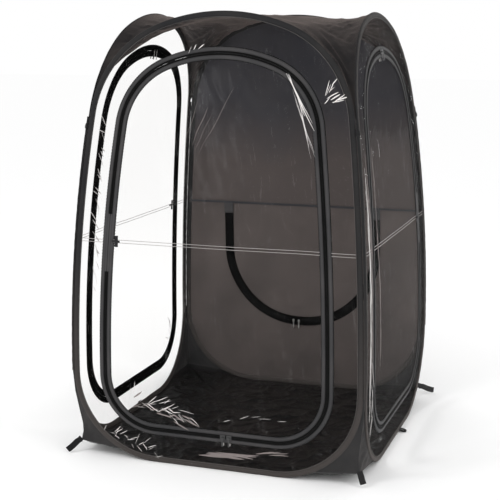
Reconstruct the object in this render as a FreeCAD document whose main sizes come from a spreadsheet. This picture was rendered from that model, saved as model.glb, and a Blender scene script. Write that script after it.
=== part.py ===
import FreeCAD, Part
import math
import os
import Sketcher
from FreeCAD import Placement, Rotation, Vector

# A pop-up pod tent: four sprung steel hoops stand as the four walls, each in a
# fabric sleeve.  Clear film fills three of the hoops and fabric the fourth,
# and each wall holds a door or a flap with a zip round it.
#
# Every wall is built as the front wall, whose outside faces -Y, and is then
# turned about +Z.  A wall is a shallow barrel: its outside is part of a
# cylinder that lies along the wall's width, so "depth" is measured inwards
# from that cylinder and "inset" inwards from the hoop's outer edge.

SIZES = {
    # the whole tent
    "half_width": 600,          # outside of a wall at its widest, from the middle
    "wide_height": 353,         # height at which the walls stand furthest out
    "bow_radius": 7950,         # how gently walls and hoop sides bow
    "tent_height": 1750,        # ground to the top of the arches
    "crown_radius": 720,        # top of a hoop
    "shoulder_radius": 420,     # upper corners of a hoop
    "foot_radius": 345,         # lower corners of a hoop
    "seam_height": 875,         # the seam across each wall
    # hoops and sleeves
    "sleeve_width": 28,
    "sleeve_depth": 10,
    "hoop_inset": 11,           # outer edge of the hoop strip, from the sleeve's edge
    "hoop_thickness": 1.6,
    "hoop_width": 7,
    "hoop_depth": 1.5,
    "channel_play": 0.2,        # room round the strip in its channel
    # sheets
    "stitch_gap": 0.2,          # between pieces that are sewn edge to edge
    "film_depth": 4.5,
    "film_thickness": 1,
    # the door's edge
    "zip_inset": 137,           # middle of the zip
    "door_crown_drop": 18,      # how much lower the door's top is than its inset gives
    "zip_gap": 1,               # between the two rows of teeth
    "zip_row_width": 7,
    "zip_depth": 1.5,
    "zip_thickness": 2.3,
    "binding_width": 22,
    "binding_depth": 4,
    "binding_thickness": 2,
    "hinge_low": 760,           # ends of the stretch with no zip, where the door turns
    "hinge_high": 980,
    "hinge_reach": 320,         # the zips are cut away beyond this half-width there
    # the flap in the back wall
    "flap_half_width": 358,
    "flap_bottom": 315,
    "flap_corner": 345,
    "flap_tape_width": 21,
    "flap_tape_depth": 3,
    "flap_tape_thickness": 3,
    # zip sliders and pulls
    "slider_length": 20,
    "slider_plate": 2,
    "slider_lip": 1,
    "slider_lip_reach": 1.8,    # how far the lips reach down beside the teeth
    "slider_play": 0.2,         # above the teeth
    "lip_play": 0.6,            # beside the teeth
    "slider_spacing": 26,
    "lug_width": 1.4,
    "lug_span": 11,
    "lug_half_length": 2.1,
    "lug_above_pin": 1.8,
    "pin_radius": 1.1,
    "pin_height": 4.8,          # pin's middle above the teeth
    "eye_play": 0.1,
    "eye_wall": 1.1,
    "pull_width": 7,
    "pull_length": 36,
    "pull_thickness": 1.6,
    "pull_round": 2.8,
    # door ties
    "tie_width": 14,
    "tie_length": 44,
    "tie_thickness": 2,
    "tie_inset": 34,            # from the middle of the zip to the tie's middle
    "toggle_radius": 4,
    "toggle_length": 31,
    "toggle_lift": 5.6,         # bar's middle above the strap's underside
    # corners, floor and loops
    "gusset_depth": 3,
    "gusset_thickness": 1.6,
    "gusset_gap": 0.4,
    "gusset_start": 31,         # height at which a gusset's lower edge leaves the hoop
    "tip_height": 50,
    "corner_margin": 0.3,
    "corner_top": 1350,         # upper end of the corner bindings
    "floor_bottom": 1,
    "floor_thickness": 1.5,
    "floor_margin": 1,          # between the floor's edge and the sleeves
    "floor_flat": 290,          # half-length of the floor's straight sides
    "floor_tip_reach": 1.5,     # how far the corner flaps reach past the floor's edge
    "roof_inset": 3,
    "roof_thickness": 1.2,
    "webbing_width": 20,
    "webbing_thickness": 1.6,
    "loop_height": 16,
    "loop_length": 66,
    "loop_slope": 34,
    "side_loop_length": 46,
    "side_loop_place": 100,     # behind the middle of the side walls
    "side_loop_lift": 0.5,      # clearance under the side loops
    "corner_loop_length": 30,
    "corner_loop_height": 14,
    "corner_loop_place": 1318,
    "corner_loop_slope": 60,
}

# each wall, the turn about +Z that takes it to its place, the side its door
# turns on and the middle of its pair of sliders, along the wall's width
WALLS = {
    "front": {"turn": 0, "hinge_side": -1, "sliders_at": 52},
    "right": {"turn": 90, "hinge_side": 1, "sliders_at": -13},
    "back": {"turn": 180, "hinge_side": 0, "sliders_at": 22},
    "left": {"turn": -90, "hinge_side": -1, "sliders_at": -40},
}
CORNERS = {"front_right": 0, "back_right": 90, "back_left": 180, "front_left": -90}

doc = FreeCAD.newDocument("PodTent")
sheet = doc.addObject("Spreadsheet::Sheet", "Sizes")
for row, (alias, number) in enumerate(SIZES.items(), 1):
    sheet.set("A%d" % row, str(number))
    sheet.setAlias("A%d" % row, alias)
doc.recompute()

SUBPARTS = []


# ---------------------------------------------------------------- helpers

def size(alias):
    """A driving dimension, read back from the sheet."""
    return float(sheet.get(alias))


def value(expression):
    """The number that an expression of sheet cells gives."""
    return float(sheet.evalExpression(expression))


def keep(part, label, placement=None):
    """Make an object one of the tent's sub-parts."""
    part.Label = label
    if placement is not None:
        part.Placement = placement
    SUBPARTS.append(part)
    return part


def new_body(label, placement=None):
    return keep(doc.addObject("PartDesign::Body", label), label, placement)


def new_sketch(body, role, name):
    """An empty sketch on one of the body's own origin planes."""
    sketch = body.newObject("Sketcher::SketchObject", name)
    plane = [feature for feature in body.Origin.OriginFeatures if feature.Role == role][0]
    sketch.AttachmentSupport = (plane, "")
    sketch.MapMode = "FlatFace"
    return sketch


def bind(sketch, kind, places, name, expression):
    """Add a dimension to a sketch and tie it to the sheet."""
    index = sketch.addConstraint(Sketcher.Constraint(kind, *places, value(expression)))
    sketch.renameConstraint(index, name)
    sketch.setExpression("Constraints." + name, expression)


def place(sketch, geometry, point, name, across=None, up=None):
    """Tie a point's coordinates in a sketch to the sheet."""
    for kind, axis, expression in (("DistanceX", "x", across), ("DistanceY", "y", up)):
        if expression is None:
            continue
        if value(expression) < 0:
            places = (geometry, point, -1, 1)
            bind(sketch, kind, places, name + "_" + axis, "-(%s)" % expression)
        else:
            places = (-1, 1, geometry, point)
            bind(sketch, kind, places, name + "_" + axis, expression)


def join(sketch, edges, kinds):
    """Join each edge's end to the next one's start, tangent or just touching."""
    for index, kind in enumerate(kinds):
        following = edges[(index + 1) % len(edges)]
        sketch.addConstraint(Sketcher.Constraint(kind, edges[index], 2, following, 1))


def arc(centre, radius, start, end):
    circle = Part.Circle(Vector(centre[0], centre[1], 0), Vector(0, 0, 1), radius)
    return Part.ArcOfCircle(circle, start, end)


def line(start, end):
    return Part.LineSegment(Vector(start[0], start[1], 0), Vector(end[0], end[1], 0))


def add_rectangle(sketch, name, left, right, low, high):
    """A rectangle whose four sides are tied to the sheet."""
    x0, x1, y0, y1 = value(left), value(right), value(low), value(high)
    corners = [(x0, y0), (x1, y0), (x1, y1), (x0, y1)]
    edges = []
    for index in range(4):
        edges.append(sketch.addGeometry(line(corners[index], corners[(index + 1) % 4]), False))
    join(sketch, edges, ["Coincident"] * 4)
    for edge, direction in zip(edges, ("Horizontal", "Vertical", "Horizontal", "Vertical")):
        sketch.addConstraint(Sketcher.Constraint(direction, edge))
    place(sketch, edges[0], 1, name + "_near", left, low)
    place(sketch, edges[2], 1, name + "_far", right, high)


def finish_feature(feature, sketch, expression, both_ways):
    feature.Profile = sketch
    feature.setExpression("Length", expression)
    if both_ways:
        feature.SideType = "Symmetric"
    doc.recompute()


def pad(body, sketch, name, expression, both_ways=False):
    """Raise a sketch into material and check that some was added."""
    feature = body.newObject("PartDesign::Pad", name)
    finish_feature(feature, sketch, expression, both_ways)
    if feature.Shape.isNull() or feature.Shape.Volume <= 0:
        raise RuntimeError("%s adds nothing" % feature.Name)
    return feature


def pocket(body, sketch, name, expression, both_ways=False, outwards=False):
    """Cut a sketch away and check that it did cut, and left something.

    Outwards is towards -Y from a front sketch, the way that pads go.
    """
    before = body.Shape.Volume
    feature = body.newObject("PartDesign::Pocket", name)
    feature.Reversed = outwards
    finish_feature(feature, sketch, expression, both_ways)
    after = feature.Shape.Volume
    if after >= before - 1e-6 or after <= 0:
        raise RuntimeError("%s of %s cuts nothing" % (name, body.Label))
    return feature


def wall_turn(wall):
    return Placement(Vector(0, 0, 0), Rotation(Vector(0, 0, 1), WALLS[wall]["turn"]))


# -------------------------------------------------- outlines of the hoops

def hoop_corner(radius_name, drop=0.0):
    """Centre of a hoop's lower or upper corner arc, which insets leave alone.

    The drop lowers the crown arc, and with it the upper corners.
    """
    side = (size("half_width") - size("sleeve_depth") - size("bow_radius"), size("wide_height"))
    reach = size("bow_radius") - size(radius_name)
    if radius_name == "foot_radius":
        up = size("foot_radius")
        return side[0] + math.sqrt(reach ** 2 - (up - side[1]) ** 2), up
    crown = (0.0, size("tent_height") - size("crown_radius") - drop)
    fall = size("crown_radius") - size("shoulder_radius")
    apart = math.dist(side, crown)
    along = (reach ** 2 - fall ** 2 + apart ** 2) / (2 * apart)
    off = math.sqrt(reach ** 2 - along ** 2)
    unit = ((crown[0] - side[0]) / apart, (crown[1] - side[1]) / apart)
    return side[0] + unit[0] * along - unit[1] * off, side[1] + unit[1] * along + unit[0] * off


def hoop_arcs(inset, drop=0.0):
    """Right-hand arcs of a hoop outline as centre, radius, start and end angle."""
    side = (size("half_width") - size("sleeve_depth") - size("bow_radius"), size("wide_height"))
    foot = hoop_corner("foot_radius")
    shoulder = hoop_corner("shoulder_radius", drop)
    crown = (0.0, size("tent_height") - size("crown_radius") - drop)
    low = math.atan2(foot[1] - side[1], foot[0] - side[0])
    high = math.atan2(shoulder[1] - side[1], shoulder[0] - side[0])
    top = math.atan2(shoulder[1] - crown[1], shoulder[0] - crown[0])
    return {
        "foot": (foot, size("foot_radius") - inset, -math.pi / 2, low),
        "side": (side, size("bow_radius") - inset, low, high),
        "shoulder": (shoulder, size("shoulder_radius") - inset, high, top),
        "crown": (crown, size("crown_radius") - inset, top, math.pi - top),
    }


def mirrored(arc_numbers):
    centre, radius, start, end = arc_numbers
    return (-centre[0], centre[1]), radius, math.pi - end, math.pi - start


def add_hoop_outline(sketch, name, inset, drop="0"):
    """The closed outline of a hoop, moved inwards and its crown down by expressions."""
    arcs = hoop_arcs(value(inset), value(drop))
    foot = arcs["foot"][0]
    ordered = [arcs["foot"], arcs["side"], arcs["shoulder"], arcs["crown"]]
    ordered += [mirrored(arcs[key]) for key in ("shoulder", "side", "foot")]
    bottom = line((-foot[0], value(inset)), (foot[0], value(inset)))
    edges = [sketch.addGeometry(bottom, False)]
    edges += [sketch.addGeometry(arc(*numbers), False) for numbers in ordered]
    join(sketch, edges, ["Tangent"] * len(edges))
    sketch.addConstraint(Sketcher.Constraint("Horizontal", edges[0]))
    place(sketch, edges[0], 1, name + "_bottom", None, inset)
    radii = ["foot", "side", "shoulder", "crown", "shoulder", "side", "foot"]
    cells = {"foot": "foot_radius", "side": "bow_radius",
             "shoulder": "shoulder_radius", "crown": "crown_radius"}
    for number, key in enumerate(radii, 1):
        expression = "Sizes.%s - (%s)" % (cells[key], inset)
        bind(sketch, "Radius", (edges[number],), "%s_%s%d" % (name, key, number), expression)
    middle = "Sizes.half_width - Sizes.sleeve_depth - Sizes.bow_radius"
    place(sketch, edges[2], 3, name + "_right", middle, "Sizes.wide_height")
    place(sketch, edges[6], 3, name + "_left", "-(%s)" % middle, "Sizes.wide_height")
    place(sketch, edges[4], 3, name + "_crown", "0",
          "Sizes.tent_height - Sizes.crown_radius - (%s)" % drop)


def add_flap_outline(sketch, name, grow, top):
    """A closed U: the flap's outline, moved outwards by an expression."""
    out = value(grow)
    half = size("flap_half_width") + out
    inner = size("flap_half_width") - size("flap_corner")
    centre_up = size("flap_bottom") + size("flap_corner")
    radius = size("flap_corner") + out
    low = size("flap_bottom") - out
    high = value(top)
    shapes = [
        line((-inner, low), (inner, low)),
        arc((inner, centre_up), radius, -math.pi / 2, 0),
        line((half, centre_up), (half, high)),
        line((half, high), (-half, high)),
        line((-half, high), (-half, centre_up)),
        arc((-inner, centre_up), radius, math.pi, 1.5 * math.pi),
    ]
    edges = [sketch.addGeometry(shape, False) for shape in shapes]
    join(sketch, edges, ["Tangent", "Tangent", "Coincident", "Coincident", "Tangent", "Tangent"])
    for edge, direction in ((0, "Horizontal"), (2, "Vertical"), (3, "Horizontal")):
        sketch.addConstraint(Sketcher.Constraint(direction, edges[edge]))
    sketch.addConstraint(Sketcher.Constraint("Vertical", edges[4]))
    bind(sketch, "Radius", (edges[1],), name + "_right", "Sizes.flap_corner + (%s)" % grow)
    bind(sketch, "Radius", (edges[5],), name + "_left", "Sizes.flap_corner + (%s)" % grow)
    across = "Sizes.flap_half_width - Sizes.flap_corner"
    up = "Sizes.flap_bottom + Sizes.flap_corner"
    place(sketch, edges[1], 3, name + "_right_middle", across, up)
    place(sketch, edges[5], 3, name + "_left_middle", "-(%s)" % across, None)
    place(sketch, edges[3], 1, name + "_top", None, top)


def add_depth_band(sketch, name, near, far, low, high, facing=-1):
    """A tall strip between two depths of a wall's cylinder, seen end on.

    It faces -1 for the front wall in a side sketch, or 1 for the right-hand
    wall in a front sketch.
    """
    middle = (facing * (size("half_width") - size("bow_radius")), size("wide_height"))
    arcs = []
    ends = []
    for depth in (value(near), value(far)):
        radius = size("bow_radius") - depth
        angles = [math.asin((value(up) - middle[1]) / radius) for up in (low, high)]
        ends.append([(middle[0] + facing * radius * math.cos(angle),
                      middle[1] + radius * math.sin(angle)) for angle in angles])
        if facing < 0:
            angles = [math.pi - angles[1], math.pi - angles[0]]
        arcs.append(arc(middle, radius, *angles))
    shapes = [arcs[0], arcs[1], line(ends[0][0], ends[1][0]), line(ends[0][1], ends[1][1])]
    near_arc, far_arc, low_line, high_line = [sketch.addGeometry(shape, False)
                                              for shape in shapes]
    low_end = 1 if facing > 0 else 2
    high_end = 3 - low_end
    touching = [(near_arc, low_end, low_line, 1), (far_arc, low_end, low_line, 2),
                (near_arc, high_end, high_line, 1), (far_arc, high_end, high_line, 2),
                (near_arc, 3, far_arc, 3)]
    for places in touching:
        sketch.addConstraint(Sketcher.Constraint("Coincident", *places))
    for edge in (low_line, high_line):
        sketch.addConstraint(Sketcher.Constraint("Horizontal", edge))
    bind(sketch, "Radius", (near_arc,), name + "_near", "Sizes.bow_radius - (%s)" % near)
    bind(sketch, "Radius", (far_arc,), name + "_far", "Sizes.bow_radius - (%s)" % far)
    across = "Sizes.half_width - Sizes.bow_radius"
    if facing < 0:
        across = "Sizes.bow_radius - Sizes.half_width"
    place(sketch, near_arc, 3, name + "_middle", across, "Sizes.wide_height")
    place(sketch, low_line, 1, name + "_low", None, low)
    place(sketch, high_line, 1, name + "_high", None, high)


# ---------------------------------------------------- pieces of the walls

# cutting sketches reach past the tent by these, and blocks past the walls
WALL_LOW = "-20"
WALL_HIGH = "Sizes.tent_height + 20"
BLOCK_LOW = "-60"
BLOCK_HIGH = "Sizes.tent_height + 60"
BLOCK_DEPTH = "Sizes.half_width + 40"
THROUGH = "3 * Sizes.half_width"


def trim_to_depth(body, near, far):
    """Cut a block down to the sheet between two depths of the wall's cylinder."""
    sketch = new_sketch(body, "YZ_Plane", "DepthSketch")
    add_rectangle(sketch, "block", "-(Sizes.half_width + 60)", "60", BLOCK_LOW, BLOCK_HIGH)
    add_depth_band(sketch, "sheet", near, far, WALL_LOW, WALL_HIGH)
    pocket(body, sketch, "DepthCut", THROUGH, both_ways=True)


def hoop_piece(label, wall, outer, inner, near, far, drops=("0", "0")):
    """A sheet that follows the hoop between two insets, or fills one.

    The drops lower the crowns of its outer and its inner outline.
    """
    body = doc.addObject("PartDesign::Body", label)
    body.Label = label
    sketch = new_sketch(body, "XZ_Plane", "OutlineSketch")
    add_hoop_outline(sketch, "outer", outer, drops[0])
    if inner is not None:
        add_hoop_outline(sketch, "inner", inner, drops[1])
    pad(body, sketch, "OutlinePad", BLOCK_DEPTH)
    trim_to_depth(body, near, far)
    body.Placement = wall_turn(wall)
    return body


def film_depths():
    return "Sizes.film_depth", "Sizes.film_depth + Sizes.film_thickness"


def add_hoop_and_sleeve(wall):
    """A flat steel hoop and the fabric sleeve that it runs in."""
    strip_outer = "Sizes.hoop_inset"
    strip_inner = "Sizes.hoop_inset + Sizes.hoop_thickness"
    strip_near = "Sizes.hoop_depth"
    strip_far = "Sizes.hoop_depth + Sizes.hoop_width"
    keep(hoop_piece(wall + "_hoop", wall, strip_outer, strip_inner, strip_near, strip_far),
         wall + "_hoop")
    play = " - Sizes.channel_play"
    more = " + Sizes.channel_play"
    cover = hoop_piece(wall + "_sleeve_cover", "front", "0", "Sizes.sleeve_width",
                       "0", "Sizes.sleeve_depth - Sizes.stitch_gap")
    channel = hoop_piece(wall + "_sleeve_channel", "front", strip_outer + play,
                         strip_inner + more, strip_near + play, strip_far + more)
    sleeve = doc.addObject("Part::Cut", wall + "_sleeve")
    sleeve.Base = cover
    sleeve.Tool = channel
    keep(sleeve, wall + "_sleeve", wall_turn(wall))
    doc.recompute()


def add_door(wall):
    """Film, bindings and zip rows of one wall with a door."""
    side = WALLS[wall]["hinge_side"]
    middle = "Sizes.zip_inset"
    half_gap = "Sizes.zip_gap / 2"
    wall_edge = middle + " - " + half_gap
    door_edge = middle + " + " + half_gap
    wall_binding_start = wall_edge + " - Sizes.binding_width"
    door_binding_end = door_edge + " + Sizes.binding_width"
    binding = ("Sizes.binding_depth", "Sizes.binding_depth + Sizes.binding_thickness")
    row = ("Sizes.zip_depth", "Sizes.zip_depth + Sizes.zip_thickness")
    rings = [
        ("_window", "Sizes.sleeve_width + Sizes.stitch_gap",
         wall_binding_start + " - Sizes.stitch_gap", film_depths()),
        ("_window_binding", wall_binding_start, wall_edge, binding),
        ("_window_zip", wall_edge + " - Sizes.zip_row_width", wall_edge, row),
        ("_door_zip", door_edge, door_edge + " + Sizes.zip_row_width", row),
        ("_door_binding", door_edge, door_binding_end, binding),
        ("_door_film", door_binding_end + " + Sizes.stitch_gap", None, film_depths()),
    ]
    drop = "Sizes.door_crown_drop"
    for suffix, outer, inner, depths in rings:
        drops = ("0", drop) if suffix == "_window" else (drop, drop)
        body = hoop_piece(wall + suffix, wall, outer, inner, *depths, drops)
        keep(body, wall + suffix)
        if suffix.endswith("_zip"):
            sketch = new_sketch(body, "XZ_Plane", "HingeSketch")
            reach = ("Sizes.hinge_reach", "Sizes.half_width")
            if side < 0:
                reach = ("-Sizes.half_width", "-Sizes.hinge_reach")
            add_rectangle(sketch, "hinge", *reach, "Sizes.hinge_low", "Sizes.hinge_high")
            pocket(body, sketch, "HingeCut", BLOCK_DEPTH, outwards=True)


def add_back_wall():
    """The fabric back wall, its U-shaped zip and the flap that it frees."""
    placement = wall_turn("back")
    inset = "Sizes.sleeve_width + Sizes.stitch_gap"
    seam = "Sizes.seam_height"
    gap = "Sizes.zip_gap / 2"
    tape = "Sizes.flap_tape_width"
    stitch = "Sizes.stitch_gap"
    tape_depths = ("Sizes.flap_tape_depth", "Sizes.flap_tape_depth + Sizes.flap_tape_thickness")

    def half_wall(label, low, high):
        body = new_body(label)
        sketch = new_sketch(body, "XZ_Plane", "OutlineSketch")
        add_hoop_outline(sketch, "outer", inset)
        pad(body, sketch, "OutlinePad", BLOCK_DEPTH)
        sketch = new_sketch(body, "XZ_Plane", "HalfSketch")
        add_rectangle(sketch, "half", "-Sizes.half_width", "Sizes.half_width", low, high)
        pocket(body, sketch, "HalfCut", BLOCK_DEPTH, outwards=True)
        return body

    upper = half_wall("back_wall_upper", WALL_LOW, seam + " + " + stitch + " / 2")
    trim_to_depth(upper, *film_depths())
    upper.Placement = placement
    lower = half_wall("back_wall_lower", seam + " - " + stitch + " / 2", WALL_HIGH)
    sketch = new_sketch(lower, "XZ_Plane", "FlapSketch")
    add_flap_outline(sketch, "opening", gap + " + " + tape + " + " + stitch, WALL_HIGH)
    pocket(lower, sketch, "FlapCut", BLOCK_DEPTH, outwards=True)
    trim_to_depth(lower, *film_depths())
    lower.Placement = placement

    tapes = [("back_wall_zip", gap + " + " + tape, gap), ("back_flap_zip", "-" + gap,
             "-" + gap + " - " + tape)]
    top = seam + " - " + stitch + " * 2"
    for label, outer, inner in tapes:
        body = new_body(label)
        sketch = new_sketch(body, "XZ_Plane", "OuterSketch")
        add_flap_outline(sketch, "outer", outer, top)
        pad(body, sketch, "OuterPad", BLOCK_DEPTH)
        sketch = new_sketch(body, "XZ_Plane", "InnerSketch")
        add_flap_outline(sketch, "inner", inner, WALL_HIGH)
        pocket(body, sketch, "InnerCut", BLOCK_DEPTH, outwards=True)
        trim_to_depth(body, *tape_depths)
        body.Placement = placement

    flap = new_body("back_flap")
    sketch = new_sketch(flap, "XZ_Plane", "OutlineSketch")
    add_flap_outline(sketch, "flap", "-" + gap + " - " + tape + " - " + stitch, top)
    pad(flap, sketch, "OutlinePad", BLOCK_DEPTH)
    trim_to_depth(flap, *film_depths())
    flap.Placement = placement


# ------------------------------------------------------ sliders and pulls

def surface_place(across, up, depth, turn=0.0):
    """A place on the front wall whose -Y points straight out of the surface."""
    radius = size("bow_radius") - depth
    lean = math.degrees(math.asin((up - size("wide_height")) / radius))
    rise = math.radians(lean)
    point = Vector(across, size("bow_radius") - size("half_width") - radius * math.cos(rise),
                   size("wide_height") + radius * math.sin(rise))
    spin = Rotation(Vector(1, 0, 0), -lean).multiply(Rotation(Vector(0, 1, 0), turn))
    return Placement(point, spin)


def slider_place(wall, which):
    """Where one of a wall's two sliders sits on the front wall's surface."""
    across = WALLS[wall]["sliders_at"] + which * size("slider_spacing") / 2
    if wall == "front":
        return surface_place(across, size("zip_inset"), size("zip_depth"))
    if wall == "back":
        up, depth = size("flap_bottom"), size("flap_tape_depth")
        swing = -size("flap_corner")
    else:
        up = size("tent_height") - size("door_crown_drop") - size("zip_inset")
        depth = size("zip_depth")
        lean = math.asin((up - size("wide_height")) / (size("bow_radius") - depth))
        swing = (size("crown_radius") - size("zip_inset")) * math.cos(lean)
    turn = math.asin(across / swing)
    offset = Vector(swing * math.sin(turn), 0, swing * (math.cos(turn) - 1))
    way = Placement(offset, Rotation(Vector(0, 1, 0), math.degrees(turn)))
    return surface_place(0, up, depth).multiply(way)


def add_slider(label, placement, has_lips):
    """A slider over the teeth, with two lugs and a cross pin for its pull."""
    body = new_body(label)
    teeth = "(Sizes.zip_row_width + Sizes.zip_gap / 2 + Sizes.lip_play)"
    section = new_sketch(body, "YZ_Plane", "SectionSketch")
    top = "-(Sizes.slider_play + Sizes.slider_plate)"
    add_rectangle(section, "plate", top, "-Sizes.slider_play",
                  "-(%s + Sizes.slider_lip)" % teeth, "%s + Sizes.slider_lip" % teeth)
    pad(body, section, "Plate", "Sizes.slider_length", both_ways=True)
    lips = [("Upper", teeth, "%s + Sizes.slider_lip" % teeth),
            ("Lower", "-(%s + Sizes.slider_lip)" % teeth, "-" + teeth)]
    for name, low, high in lips if has_lips else []:
        lip = new_sketch(body, "YZ_Plane", name + "LipSketch")
        add_rectangle(lip, "lip", "-(Sizes.slider_play + Sizes.slider_plate / 2)",
                      "Sizes.slider_lip_reach", low, high)
        pad(body, lip, name + "Lip", "Sizes.slider_length", both_ways=True)
    lug_top = "-(Sizes.pin_height + Sizes.lug_above_pin)"
    lug_half = "Sizes.lug_half_length"
    blank = new_sketch(body, "YZ_Plane", "LugSketch")
    add_rectangle(blank, "lug", lug_top, "-(Sizes.slider_play + Sizes.slider_plate / 2)",
                  "-" + lug_half, lug_half)
    pad(body, blank, "LugBlock", "Sizes.lug_span", both_ways=True)
    slot = new_sketch(body, "YZ_Plane", "LugSlotSketch")
    add_rectangle(slot, "slot", lug_top + " * 2", top,
                  "-%s * 2" % lug_half, "%s * 2" % lug_half)
    pocket(body, slot, "LugSlot", "Sizes.lug_span - 2 * Sizes.lug_width", both_ways=True)
    pin = new_sketch(body, "YZ_Plane", "PinSketch")
    circle = pin.addGeometry(Part.Circle(Vector(-size("pin_height"), 0, 0),
                                         Vector(0, 0, 1), size("pin_radius")), False)
    bind(pin, "Radius", (circle,), "pin_radius", "Sizes.pin_radius")
    place(pin, circle, 3, "pin_middle", "-Sizes.pin_height", "0")
    pad(body, pin, "Pin", "Sizes.lug_span", both_ways=True)
    body.Placement = placement


def add_pull(label, placement):
    """A hanging tab with an eye round the slider's pin."""
    body = new_body(label)
    eye = new_sketch(body, "YZ_Plane", "EyeSketch")
    bore = "Sizes.pin_radius + Sizes.eye_play"
    for name, expression in (("bore", bore), ("rim", bore + " + Sizes.eye_wall")):
        circle = eye.addGeometry(Part.Circle(Vector(0, 0, 0), Vector(0, 0, 1),
                                             value(expression)), False)
        bind(eye, "Radius", (circle,), name, expression)
        eye.addConstraint(Sketcher.Constraint("Coincident", circle, 3, -1, 1))
    pad(body, eye, "Eye", "Sizes.pull_width", both_ways=True)
    tab = new_sketch(body, "XZ_Plane", "TabSketch")
    add_rectangle(tab, "tab", "-Sizes.pull_width / 2", "Sizes.pull_width / 2",
                  "-Sizes.pull_length", "-(%s + Sizes.eye_wall / 2)" % bore)
    blank = pad(body, tab, "Tab", "Sizes.pull_thickness", both_ways=True)
    lowest = [
        "Edge%d" % number for number, edge in enumerate(blank.Shape.Edges, 1)
        if edge.BoundBox.ZMax < 0.01 - size("pull_length") and edge.BoundBox.XLength < 0.01
    ]
    tip = body.newObject("PartDesign::Fillet", "TabEnd")
    tip.Base = (blank, lowest)
    tip.setExpression("Radius", "Sizes.pull_round")
    doc.recompute()
    body.Placement = placement


def add_sliders(wall):
    turn = wall_turn(wall)
    for name, which in (("a", -1), ("b", 1)):
        here = turn.multiply(slider_place(wall, which))
        add_slider("%s_slider_%s" % (wall, name), here, wall != "back")
        pivot = Placement(Vector(0, -size("pin_height"), 0), Rotation())
        add_pull("%s_pull_%s" % (wall, name), here.multiply(pivot))


def add_tie(wall):
    """A webbing tab with a toggle bar, sewn beside the door's hinge."""
    label = wall + "_door_tie"
    side = WALLS[wall]["hinge_side"]
    up = size("seam_height")
    rise = math.asin((up - size("wide_height")) / size("bow_radius"))
    edge = (size("bow_radius") - size("zip_inset")) * math.cos(rise)
    edge += size("half_width") - size("sleeve_depth") - size("bow_radius")
    across = side * (edge - size("tie_inset"))
    body = new_body(label)
    strap = new_sketch(body, "XZ_Plane", "StrapSketch")
    add_rectangle(strap, "strap", "-Sizes.tie_width / 2", "Sizes.tie_width / 2",
                  "-Sizes.tie_length / 2", "Sizes.tie_length / 2")
    pad(body, strap, "Strap", "Sizes.tie_thickness")
    bar = new_sketch(body, "YZ_Plane", "BarSketch")
    out = "-Sizes.toggle_lift"
    circle = bar.addGeometry(Part.Circle(Vector(value(out), 0, 0), Vector(0, 0, 1),
                                         size("toggle_radius")), False)
    bind(bar, "Radius", (circle,), "bar_radius", "Sizes.toggle_radius")
    place(bar, circle, 3, "bar_middle", out, "0")
    pad(body, bar, "Bar", "Sizes.toggle_length", both_ways=True)
    gap = size("film_depth") - 2 * size("stitch_gap")
    body.Placement = wall_turn(wall).multiply(surface_place(across, up, gap))


# ------------------------------------------- corners, floor, roof, loops

def add_corner_bindings():
    """Square bindings that close the notch between neighbouring sleeves."""
    pieces = []
    for corner, turn in CORNERS.items():
        body = doc.addObject("PartDesign::Body", corner + "_corner_binding")
        near = "Sizes.corner_margin"
        far = "Sizes.sleeve_depth - Sizes.corner_margin"
        low = "Sizes.foot_radius"
        high = "Sizes.corner_top"
        sketch = new_sketch(body, "YZ_Plane", "ProfileSketch")
        add_depth_band(sketch, "strip", near, far, low, high)
        pad(body, sketch, "ProfilePad", THROUGH, both_ways=True)
        sketch = new_sketch(body, "XZ_Plane", "SideSketch")
        add_rectangle(sketch, "block", "-(Sizes.half_width * 2)", "Sizes.half_width * 2",
                      BLOCK_LOW, BLOCK_HIGH)
        add_depth_band(sketch, "strip", near, far, WALL_LOW, WALL_HIGH, facing=1)
        pocket(body, sketch, "SideCut", BLOCK_DEPTH, outwards=True)
        body.Placement = Placement(Vector(0, 0, 0), Rotation(Vector(0, 0, 1), turn))
        pieces.append(body)
    group = doc.addObject("Part::Compound", "corner_bindings")
    group.Links = pieces
    keep(group, "corner_bindings")


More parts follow.
